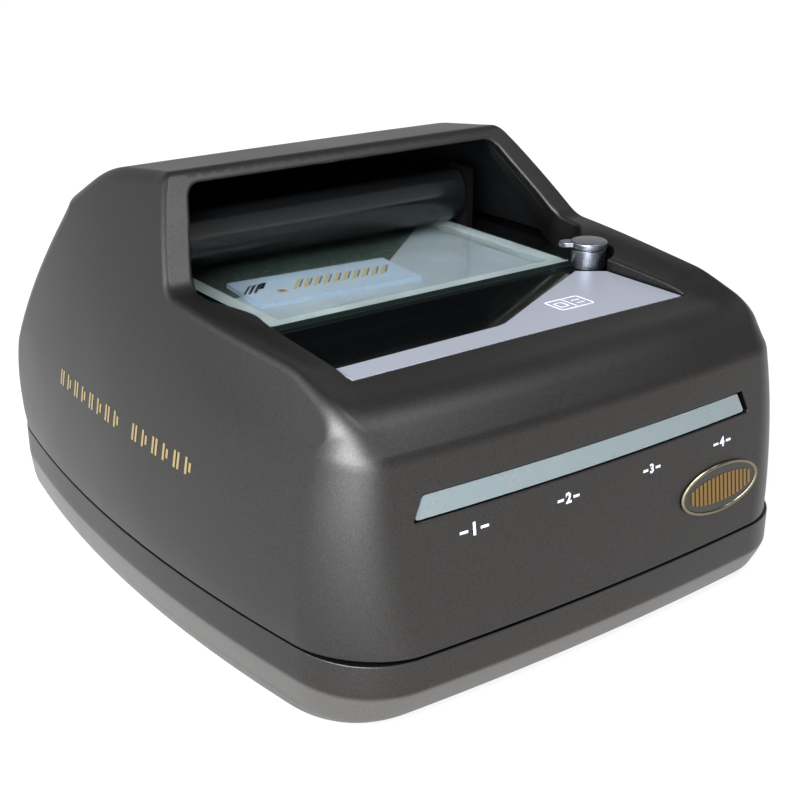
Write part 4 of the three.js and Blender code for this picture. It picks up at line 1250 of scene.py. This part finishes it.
def numeral(text, x, size):
    """A numeral printed on the front, with a short dash on either side."""
    curve = bpy.data.curves.new("numeral", "FONT")
    curve.body = text
    curve.size = size
    curve.align_x = "CENTER"
    curve.align_y = "CENTER"
    curve.resolution_u = 4
    curve.offset = size * NUMERAL_WEIGHT
    lettering = add_object("numeral", curve)
    shape = bpy.data.meshes.new_from_object(lettering)
    flat = np.array([(v.co.x, v.co.y) for v in shape.vertices])
    faces = [list(polygon.vertices) for polygon in shape.polygons]
    bpy.data.objects.remove(lettering)
    bpy.data.curves.remove(curve)
    for side in (-1, 1):
        start = len(flat)
        low, high = (side * size * reach for reach in DASH_REACH)
        dash = [(low, -DASH_HALF), (high, -DASH_HALF), (high, DASH_HALF), (low, DASH_HALF)]
        flat = np.concatenate([flat, dash])
        faces.append([start, start + 1, start + 2, start + 3])
    _, _, surface, normals = on_case(flat + (x, NUMERAL_Z))
    return print_object(f"front_numeral_{text}", surface + normals * PRINT_PROUD, faces, normals)


def print_object(name, points, faces, normals):
    """A printed mark, its faces turned the way of its normals."""
    turned_out = []
    for face in faces:
        a, b, c = points[face[0]], points[face[1]], points[face[2]]
        turned_out.append(face if np.cross(b - a, c - a) @ normals[face[0]] > 0 else face[::-1])
    return mesh_object(name, points, turned_out, normals)


# Two groups of ticks on the left side.
SIDE_ROW_Z = 63.8
SIDE_ROW_FRONT = -47.0
SIDE_ROW_BACK = 49.0
SIDE_GROUPS = (8, 6)
TICK_HALF = 2.7
TICK_HALF_WIDTH = 0.62
TICK_SPREAD = 1.1
SHORT_TICK = 0.55


def side_row():
    """Two groups of gold marks on the left side, each mark a tall tick beside a short or tall one."""
    steps = sum(SIDE_GROUPS)
    pitch = (SIDE_ROW_BACK - SIDE_ROW_FRONT) / steps
    ticks = []
    for k in range(steps):
        y = SIDE_ROW_BACK - pitch * (k + (k >= SIDE_GROUPS[0]))
        ticks.append((y + TICK_SPREAD, TICK_HALF))
        ticks.append((y - TICK_SPREAD, TICK_HALF * (SHORT_TICK if k % 2 else 1.0)))
    places = []
    faces = []
    for y, half in ticks:
        start = len(places)
        for z in np.linspace(SIDE_ROW_Z - half, SIDE_ROW_Z + half, 4):
            places += [(y - TICK_HALF_WIDTH, z), (y + TICK_HALF_WIDTH, z)]
        faces += [[a, a + 1, a + 3, a + 2] for a in range(start, start + 6, 2)]
    y, z = np.array(places).T
    normals = side_face_normal(y, z)
    points = bowed(np.full(len(y), HALF), y, z) + normals * PRINT_PROUD
    mirror = np.array([-1, 1, 1])
    return print_object("side_tick_row", points * mirror, faces, normals * mirror)


# Openings in the base tray: sockets at the back and screw wells underneath.
SCREW_X = 82.0
SCREW_Y = 81.0
SCREW_SEAT_Z = 8.0
SEAT_RADIUS = 6
WELL_RADIUS = 3.5
SOCKET_GAP = 0.4
SOCKET_LOW_GAP = 0.3


def box_cutter(low, high):
    form = bmesh.new()
    bmesh.ops.create_cube(form, size=1)
    for vert in form.verts:
        vert.co = [(low[i] + (high[i] - low[i]) * (vert.co[i] + 0.5)) * MM for i in range(3)]
    return object_from(form, "cutter")


def round_cutter(x, y, radius, low_z, high_z):
    form = bmesh.new()
    bmesh.ops.create_cone(form, cap_ends=True, segments=40, radius1=radius * MM, radius2=radius * MM, depth=1)
    for vert in form.verts:
        vert.co = (vert.co.x + x * MM, vert.co.y + y * MM, (low_z + (high_z - low_z) * (vert.co.z + 0.5)) * MM)
    return object_from(form, "cutter")


def combine(piece, tools, operation):
    for tool in tools:
        modifier = piece.modifiers.new("combine", "BOOLEAN")
        modifier.operation = operation
        modifier.solver = "EXACT"
        modifier.object = tool
        bpy.context.view_layer.update()
        result = bpy.data.meshes.new_from_object(piece.evaluated_get(bpy.context.evaluated_depsgraph_get()))
        piece.modifiers.clear()
        piece.data = result
        bpy.data.objects.remove(tool)


def open_base(tray):
    form = bmesh.new()
    form.from_mesh(tray.data)
    bmesh.ops.remove_doubles(form, verts=form.verts, dist=1e-6)
    bmesh.ops.recalc_face_normals(form, faces=form.faces)
    whole = object_from(form, "case_base")
    bpy.data.objects.remove(tray)
    places = [(sx * SCREW_X, sy * SCREW_Y) for sx in (-1, 1) for sy in (-1, 1)]
    seats = [round_cutter(x, y, SEAT_RADIUS, BASE_BOTTOM_Z + 1, SCREW_SEAT_Z + 2) for x, y in places]
    wells = [round_cutter(x, y, WELL_RADIUS, 0, SCREW_SEAT_Z) for x, y in places]
    holes = []
    for name in ("usb_socket", "power_socket", "switch_housing"):
        (x0, _, z0), (x1, _, z1) = box_of(name)
        low = (x0 - SOCKET_GAP, BACK - 8, z0 - SOCKET_LOW_GAP)
        holes.append(box_cutter(low, (x1 + SOCKET_GAP, BACK + 4, z1 + SOCKET_GAP)))
    combine(whole, seats, "UNION")
    combine(whole, wells + holes, "DIFFERENCE")
    return sharpen(whole, 28)


def shade(colour, factor):
    return tuple(min(1.0, channel * factor) for channel in colour)


class Nodes:
    """The nodes of a material or of the world, added step by step."""

    def __init__(self, owner):
        owner.use_nodes = True
        self.nodes = owner.node_tree.nodes
        self.links = owner.node_tree.links

    def wire(self, item, inputs, output):
        """Link or set a node's inputs; returns one of its outputs."""
        for key, value in inputs.items():
            if isinstance(value, bpy.types.NodeSocket):
                self.links.new(value, item.inputs[key])
            else:
                item.inputs[key].default_value = value
        return item.outputs[output]

    def add(self, kind, inputs, output):
        return self.wire(self.nodes.new(f"ShaderNode{kind}"), inputs, output)

    def remap(self, value, from_low, from_high, low, high):
        inputs = {"Value": value, "From Min": from_low, "From Max": from_high, "To Min": low, "To Max": high}
        return self.add("MapRange", inputs, "Result")

    def ramp(self, value, stops):
        step = self.nodes.new("ShaderNodeValToRGB")
        elements = step.color_ramp.elements
        while len(elements) < len(stops):
            elements.new(0.5)
        for element, (position, colour) in zip(elements, stops):
            element.position = position
            element.color = (*colour, 1)
        return self.wire(step, {"Fac": value}, "Color")

    def surface(self, lit, shown, target):
        """One shader for what only lights, one for what is seen directly, mirrored or through glass."""
        path = self.nodes.new("ShaderNodeLightPath")
        seen = path.outputs["Is Camera Ray"]
        for kind in ("Is Glossy Ray", "Is Transmission Ray"):
            either = self.nodes.new("ShaderNodeMath")
            either.operation = "MAXIMUM"
            seen = self.wire(either, {0: seen, 1: path.outputs[kind]}, "Value")
        both = self.add("MixShader", {"Fac": seen, 1: lit, 2: shown}, "Shader")
        self.links.new(both, self.nodes[target].inputs["Surface"])


class Look(Nodes):
    """A material in the making: its shader and textures in the object's own coordinates."""

    def __init__(self, name):
        self.material = bpy.data.materials.new(name)
        super().__init__(self.material)
        self.shader = self.nodes["Principled BSDF"]
        self.coords = self.add("TexCoord", {}, "Object")

    def noise(self, scale, detail=2.0, roughness=0.5, stretch=None):
        coords = self.coords
        if stretch:
            coords = self.add("Mapping", {"Vector": coords, "Scale": stretch}, "Vector")
        inputs = {"Vector": coords, "Scale": scale, "Detail": detail, "Roughness": roughness}
        return self.add("TexNoise", inputs, "Fac")

    def varied(self, value, colour, vary):
        """A colour that goes darker and lighter with a noise."""
        return self.ramp(value, [(0.3, shade(colour, 1 - vary)), (0.7, shade(colour, 1 + vary))])

    def bump(self, height, distance, strength):
        return self.add("Bump", {"Distance": distance, "Strength": strength, "Height": height}, "Normal")

    def finished(self, colour, roughness, inputs):
        """The material, with its colour, its roughness and the shader's other inputs."""
        self.wire(self.shader, {"Base Color": colour, "Roughness": roughness, **inputs}, "BSDF")
        return self.material


def satin_paint(name, colour, roughness, foot=None):
    """Dark metallic satin paint: fine sparkle, faint cloudiness, a soft orange-peel and a lighter foot, which is
    painted light from the white floor.
    """
    look = Look(name)
    flakes = look.remap(look.noise(2300), 0.34, 0.66, 0.0, 1.0)
    tint = look.ramp(flakes, [(0.0, shade(colour, 0.86)), (1.0, shade(colour, 1.15))])
    # The foot colour paints the band below BAND_BOTTOM_Z lighter: painted light from the white floor.
    if foot:
        height = look.add("SeparateXYZ", {"Vector": look.coords}, "Z")
        share = look.remap(height, (BAND_BOTTOM_Z - 1) * MM, (BAND_BOTTOM_Z + 0.6) * MM, 1.0, 0.0)
        floor_light_foot_tint = look.ramp(flakes, [(0.0, shade(foot, 0.9)), (1.0, shade(foot, 1.1))])
        mix = look.nodes.new("ShaderNodeMix")
        mix.data_type = "RGBA"
        tint = look.wire(mix, {"Factor": share, "A": tint, "B": floor_light_foot_tint}, "Result")
    cloudy = look.remap(look.noise(16, 3.0), 0.3, 0.7, roughness - 0.035, roughness + 0.035)
    return look.finished(tint, cloudy, {"Metallic": 1.0, "Normal": look.bump(look.noise(2600), 0.00002, 0.2)})


def moulded(name, colour, roughness, grain=1500, depth=0.00002, specular=0.5):
    """Moulded plastic or rubber with a fine grain and faint scuffs."""
    look = Look(name)
    tint = look.varied(look.noise(40, 4.0), colour, 0.12)
    scuffs = look.remap(look.noise(260, 5.0, 0.6), 0.35, 0.7, roughness * 0.9, min(1.0, roughness * 1.15))
    relief = look.bump(look.noise(grain), depth, 0.6)
    return look.finished(tint, scuffs, {"Specular IOR Level": specular, "Normal": relief})


def glossy(name, colour, roughness):
    """Polished plastic with a thin film of dust and hairline marks."""
    look = Look(name)
    dusty = tuple(channel + 0.003 for channel in colour)
    tint = look.ramp(look.noise(700, 6.0, 0.7), [(0.6, colour), (0.85, dusty)])
    film = look.noise(30, 4.0, stretch=(1, 6, 6))
    marks = look.remap(film, 0.3, 0.75, roughness * 0.7, roughness * 1.6)
    return look.finished(tint, marks, {"Normal": look.bump(look.noise(60), 0.00002, 0.08)})


def brushed(name, colour, roughness, direction, metallic=1.0, vary=0.1):
    """Metal or metallic plate with fine lines along one direction."""
    look = Look(name)
    lines = look.noise(900, 3.0, 0.6, direction)
    sheen = look.remap(lines, 0.3, 0.7, roughness * 0.8, roughness * 1.25)
    relief = look.bump(lines, 0.00001, 0.3)
    return look.finished(look.varied(lines, colour, vary), sheen, {"Metallic": metallic, "Normal": relief})


def circuit_board(name, colour, trace):
    """Solder resist over copper: a cell pattern of faint tracks and a weave below."""
    look = Look(name)
    cells = look.nodes.new("ShaderNodeTexVoronoi")
    cells.distance = "CHEBYCHEV"
    distance = look.wire(cells, {"Scale": 420, "Vector": look.coords}, "Distance")
    tint = look.ramp(distance, [(0.42, colour), (0.5, trace), (0.58, colour)])
    weave = look.noise(2400)
    return look.finished(tint, look.remap(weave, 0.3, 0.7, 0.3, 0.45), {"Normal": look.bump(weave, 0.00002, 0.4)})


def clear_glass():
    """Clear float glass with a faint green body and a trace of dust."""
    look = Look("window_glass")
    tint = look.ramp(look.noise(25), [(0.3, (0.945, 0.98, 0.972)), (0.7, (0.965, 0.99, 0.982))])
    dust = look.remap(look.noise(420, 6.0, 0.7), 0.62, 0.9, 0.0, 0.12)
    return look.finished(tint, dust, {"Transmission Weight": 1.0, "IOR": 1.5})


def milky(name, colour, roughness=0.28):
    """Milky light guide: soft scatter below a smooth face."""
    look = Look(name)
    clouds = look.noise(60, 3.0)
    gloss = look.remap(clouds, 0.3, 0.7, roughness - 0.01, roughness + 0.01)
    relief = look.bump(look.noise(900), 0.00001, 0.3)
    scatter = {"Subsurface Weight": 0.25, "Subsurface Scale": 0.002}
    return look.finished(look.varied(clouds, colour, 0.006), gloss, {**scatter, "Normal": relief})


def paint(piece, material):
    piece.data.materials.clear()
    piece.data.materials.append(material)


def node(name):
    return bpy.data.objects[name]


# The camera, at the photograph's angle.
CAMERA_PLACE = (-268.1, -384.0, 235.8)
CAMERA_AZIMUTH = -36.22
CAMERA_ELEVATION = 21.95
CAMERA_LENS = 61.67


def camera():
    data = bpy.data.cameras.new("camera")
    data.lens = CAMERA_LENS
    data.sensor_width = 36
    data.clip_start = 0.01
    item = add_object("camera", data)
    item.location = [c * MM for c in CAMERA_PLACE]
    item.rotation_euler = (math.radians(90 - CAMERA_ELEVATION), 0, math.radians(CAMERA_AZIMUTH))
    bpy.context.scene.camera = item


# Soft studio light, in metres: a key lamp at the front left, a small one before the corner and one beside it,
# three long low ones round the front left, and a small one above.
LAMP_TINT = (0.9, 0.95, 1.0)
LAMP_AIM = (0, -0.05, 0.06)
LOW_LAMPS = ((-40, 5.4), (-66, 2.6), (-94, 0.5))
LOW_LAMP_AWAY = 1.05
LOW_LAMP_Z = 0.125
LOW_LAMP_SIZE = (0.68, 0.22)

# The room is pale low down and dim overhead, both where it only lights and where it is seen.
LIT_STOPS = ((0.0, 0.25), (0.5, 0.25), (0.72, 0.2), (1.0, 0.16))
SEEN_STOPS = ((0.0, 1.0), (0.5, 1.0), (0.54, 0.64), (0.7, 0.45), (0.84, 0.25), (1.0, 0.2))


def area_light(name, place, size, power):
    data = bpy.data.lights.new(name, "AREA")
    data.shape = "RECTANGLE"
    data.size, data.size_y = size
    data.energy = power
    data.color = LAMP_TINT
    item = add_object(name, data)
    item.location = place
    item.rotation_euler = (Vector(LAMP_AIM) - Vector(place)).to_track_quat("-Z", "Y").to_euler()


def greys(stops):
    return [(position, (grey, grey, grey)) for position, grey in stops]


def lights():
    area_light("light_key", (-0.9, -0.5, 0.9), (0.9, 0.6), 40.0)
    area_light("light_corner", (-0.75, -0.75, 0.5), (0.6, 0.3), 5.0)
    area_light("light_side", (-0.95, 0.45, 0.75), (0.9, 0.7), 4.0)
    for azimuth, power in LOW_LAMPS:
        turn = math.radians(azimuth)
        place = (LOW_LAMP_AWAY * math.sin(turn), LAMP_AIM[1] - LOW_LAMP_AWAY * math.cos(turn), LOW_LAMP_Z)
        area_light("light_low", place, LOW_LAMP_SIZE, power)
    area_light("light_top", (0.35, -0.5, 1.3), (0.5, 0.5), 6.5)


def room():
    world = bpy.data.worlds.new("studio")
    bpy.context.scene.world = world
    sky = Nodes(world)
    height = sky.add("SeparateXYZ", {"Vector": sky.add("TexCoord", {}, "Generated")}, "Z")
    level = sky.remap(height, -1.0, 1.0, 0.0, 1.0)
    lit = sky.wire(sky.nodes["Background"], {"Color": sky.ramp(level, greys(LIT_STOPS))}, "Background")
    shown = sky.add("Background", {"Color": sky.ramp(level, greys(SEEN_STOPS))}, "Background")
    sky.surface(lit, shown, "World Output")


# What the floor shows: mostly its own white, so that the shadow on it stays soft, and more so far away.
FLOOR_HALF = 3.0
FLOOR_NEAR_WHITE = 0.84
FLOOR_FAR_WHITE = 0.95
FLOOR_NEAR = 0.35
FLOOR_FAR = 1.1
FLOOR_SHADED = 0.2
FLOOR_BOUNCE = 0.5


def floor():
    mesh = bpy.data.meshes.new("floor")
    corners = [(x * FLOOR_HALF, y * FLOOR_HALF, 0) for x, y in ((-1, -1), (1, -1), (1, 1), (-1, 1))]
    mesh.from_pydata(corners, [], [(0, 1, 2, 3)])
    piece = add_object("floor", mesh)
    look = Look("floor_white")
    grain = look.noise(3)
    bounce = look.ramp(grain, greys([(0.3, FLOOR_BOUNCE - 0.01), (0.7, FLOOR_BOUNCE + 0.01)]))
    lit = look.wire(look.shader, {"Base Color": bounce, "Specular IOR Level": 0.0}, "BSDF")
    shadow = look.ramp(grain, greys([(0.3, FLOOR_SHADED - 0.005), (0.7, FLOOR_SHADED + 0.005)]))
    away = look.nodes.new("ShaderNodeVectorMath")
    away.operation = "LENGTH"
    distance = look.wire(away, {0: look.coords}, "Value")
    white = look.remap(distance, FLOOR_NEAR, FLOOR_FAR, FLOOR_NEAR_WHITE, FLOOR_FAR_WHITE)
    layers = {
        0: look.add("BsdfDiffuse", {"Color": shadow}, "BSDF"),
        1: look.add("Emission", {"Strength": white}, "Emission"),
    }
    look.surface(lit, look.add("AddShader", layers, "Shader"), "Material Output")
    paint(piece, look.material)


camera()
lights()
room()
floor()

# The finishes, one for each material of the object.
FINISH = {
    "shell": satin_paint("shell_paint", (0.0585, 0.0556, 0.0533), 0.42),
    # The base's second colour is its lower band's painted light from the white floor.
    "shell_base": satin_paint("base_paint", (0.0585, 0.0553, 0.0528), 0.42, (0.175, 0.168, 0.16)),
    "liner": moulded("liner_black", (0.004, 0.0044, 0.005), 0.42, 1800, specular=0.35),
    "black_gloss": glossy("deck_gloss", (0.002, 0.0024, 0.0024), 0.06),
    "flap_gloss": glossy("flap_gloss", (0.006, 0.0065, 0.007), 0.16),
    "label_plate": brushed("plate_grey", (0.3, 0.305, 0.35), 0.4, (1, 14, 1), 0.3, 0.05),
    "glass": clear_glass(),
    "glass_edge": milky("glass_edge", (0.42, 0.52, 0.48), 0.35),
    "glass_side": glossy("glass_side", (0.006, 0.012, 0.01), 0.12),
    "pale_screen": moulded("pale_screen", (0.57, 0.63, 0.67), 0.45),
    "painted_shade_screen": circuit_board("painted_shade_screen", (0.05, 0.075, 0.066), (0.13, 0.165, 0.14)),
    "grey_mark": moulded("grey_mark", (0.16, 0.19, 0.21), 0.5),
    "reflected_tick_green": moulded("reflected_tick_green", (0.3, 0.33, 0.22), 0.5),
    # The brackets' black is their own black, made darker and duller as painted shade under the hood.
    "bracket_shaded_black": moulded("bracket_shaded_black", (0.003, 0.003, 0.0033), 0.85, 1200, 0.00003, specular=0.05),
    "frame_grey": moulded("frame_grey", (0.56, 0.62, 0.61), 0.45),
    "black_matte": moulded("black_matte", (0.005, 0.005, 0.0055), 0.6, 1200, 0.00004, specular=0.2),
    "steel": brushed("steel_brushed", (0.215, 0.226, 0.248), 0.3, (1, 1, 12)),
    "aluminium": brushed("aluminium_fins", (0.6, 0.61, 0.62), 0.38, (12, 1, 1)),
    "chrome": brushed("chrome_bright", (0.72, 0.73, 0.75), 0.08, (1, 1, 1), vary=0.02),
    "gold": brushed("gold_plate", (0.27, 0.165, 0.06), 0.36, (1, 10, 1), vary=0.12),
    "light_guide": milky("light_guide", (0.158, 0.188, 0.194)),
    "lamp": milky("lamp_yellow", (0.75, 0.72, 0.42), 0.2),
    "board": circuit_board("board_green", (0.012, 0.06, 0.028), (0.03, 0.11, 0.05)),
    "blue_board": circuit_board("board_blue", (0.62, 0.75, 0.9), (0.7, 0.83, 0.97)),
    "mirror": brushed("mirror_silver", (0.9, 0.9, 0.9), 0.03, (1, 1, 1), vary=0.02),
    "ribbon": brushed("ribbon_white", (0.62, 0.62, 0.6), 0.4, (30, 1, 1), 0.0, 0.12),
    "switch_black": glossy("switch_black", (0.008, 0.008, 0.009), 0.28),
    "rubber": moulded("rubber_black", (0.018, 0.018, 0.019), 0.78, 900, 0.00006),
    "badge_metal": brushed("badge_metal", (0.2, 0.17, 0.12), 0.34, (1, 1, 1), vary=0.06),
    "badge_ground": moulded("badge_ground", (0.03, 0.028, 0.022), 0.45, 1800, specular=0.3),
    "white_print": moulded("white_print", (0.6, 0.6, 0.68), 0.5, 2500, 0.00001),
    "gold_print": brushed("gold_print", (0.32, 0.235, 0.105), 0.4, (1, 1, 8), 0.6),
    "gold_mark": brushed("gold_mark", (0.8, 0.62, 0.26), 0.4, (1, 6, 1), 0.0),
}


def dress(piece, slot, body="case", finish=None, replaces=()):
    """Give a piece its finish, the body that it rides on and the nodes that it stands for."""
    paint(piece, FINISH[finish or slot])
    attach(piece, body)
    if replaces:
        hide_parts(*replaces)


dress(upper_case(), "shell", replaces=["upper_shell"])
dress(open_base(base_tray()), "shell_base", replaces=["base_shell"])

# The flap with the bore for its shaft.
section, knuckle_centre = flap_section()
flap = soften(extruded_x("flap_panel", section, FLAP_HALF, (knuckle_centre, BORE_RADIUS)), 0.25, 2, 50)
dress(flap, "flap_gloss", "flap", replaces=["press_flap"])

# The latch.
for turning in knob():
    dress(turning, "steel", "latch", replaces=["knob_latch"])

# The plate on the deck and its mark.
dress(deck_plate(), "label_plate", replaces=["deck_label"])
dress(plate_mark(), "label_plate", finish="white_print")

# The light bar, the badge and the printed marks.
dress(light_bar(), "light_guide", replaces=["light_bar"])
dress(badge_rim(), "chrome", finish="badge_metal", replaces=["badge_rim"])
dress(badge_face(), "gold", finish="badge_ground", replaces=["badge_face"])
dress(badge_ribs(), "gold", replaces=["badge_face"])
for number, (place_x, size) in enumerate(NUMERALS, 1):
    dress(numeral(str(number), place_x, size), "label_plate", finish="white_print")
dress(side_row(), "gold", finish="gold_print")

# The glass, the sheets below it, the marks on the board, and the painted reflection of the board's marks on the
# painted shade sheet.
window_glass()
pale_screen, painted_shade_screen = window_sheets()
dress(pale_screen, "frame_grey", finish="pale_screen")
# The rear sheet is painted shade where the flap darkens the window.
dress(painted_shade_screen, "board", finish="painted_shade_screen")
for name, places, block, slot, finish in (
    ("board_gold_row", GOLD_MARKS_X, (0.2, 1.5, 9.0, 0.0, 0.12), "gold", "gold_mark"),
    ("board_dark_row", GOLD_MARKS_X + 1.7, (0.8, 0.7, 7.0, 0.0, 0.1), "black_matte", "grey_mark"),
    ("board_comb", COMB_X, (2.2, 1.0, 8.0, 0.0, 0.3), "ribbon", "ribbon"),
):
    dress(board_row(name, places, *block, MARK_LEAN), slot, finish=finish)
dress(board_disc("board_ring", -18.4, -3.8, 2.1, 0.12), "gold", finish="gold_mark")
dress(board_disc("board_ring_core", -18.4, -3.8, 1.1, 0.2), "black_matte", finish="grey_mark")
dress(board_block("board_chip", -21.6, 4.6, 1.8, 5.0, 0.0, 0.2, MARK_LEAN), "black_matte")
# A row of pale ticks on the dark sheet: a painted reflection of the board's gold marks.
reflected_ticks = board_row("reflected_tick_row", REFLECTED_TICKS_X, 17.0, 0.9, 4.0, -SCREEN_DROP, 0.15 - SCREEN_DROP, MARK_LEAN)
dress(reflected_ticks, "board", finish="reflected_tick_green")

# The nodes that stay as they are get the finish of their slot, and the moulded ones a softened edge.
EDGED = (
    "glass_frame", "glass_clip", "usb_socket", "power_socket", "switch_housing", "power_rocker", "heat_sink",
    "buzzer", "optics_box", "camera_lens",
)
for subpart in frame["record"]["subparts"]:
    carried = node(subpart["node"])
    for place in carried.material_slots:
        place.material = FINISH[subpart["material_slot"]]
# The flap's brackets get that darker black: their own black with painted shade of the hood.
for name in ("flap_bracket_left", "flap_bracket_right"):
    paint(node(name), FINISH["bracket_shaded_black"])
for name in EDGED:
    weld = node(name).modifiers.new("weld", "WELD")
    weld.merge_threshold = 0.00001
    round_edges(node(name), 0.22, 2, 40)

view = bpy.context.scene.view_settings
view.view_transform = "Standard"
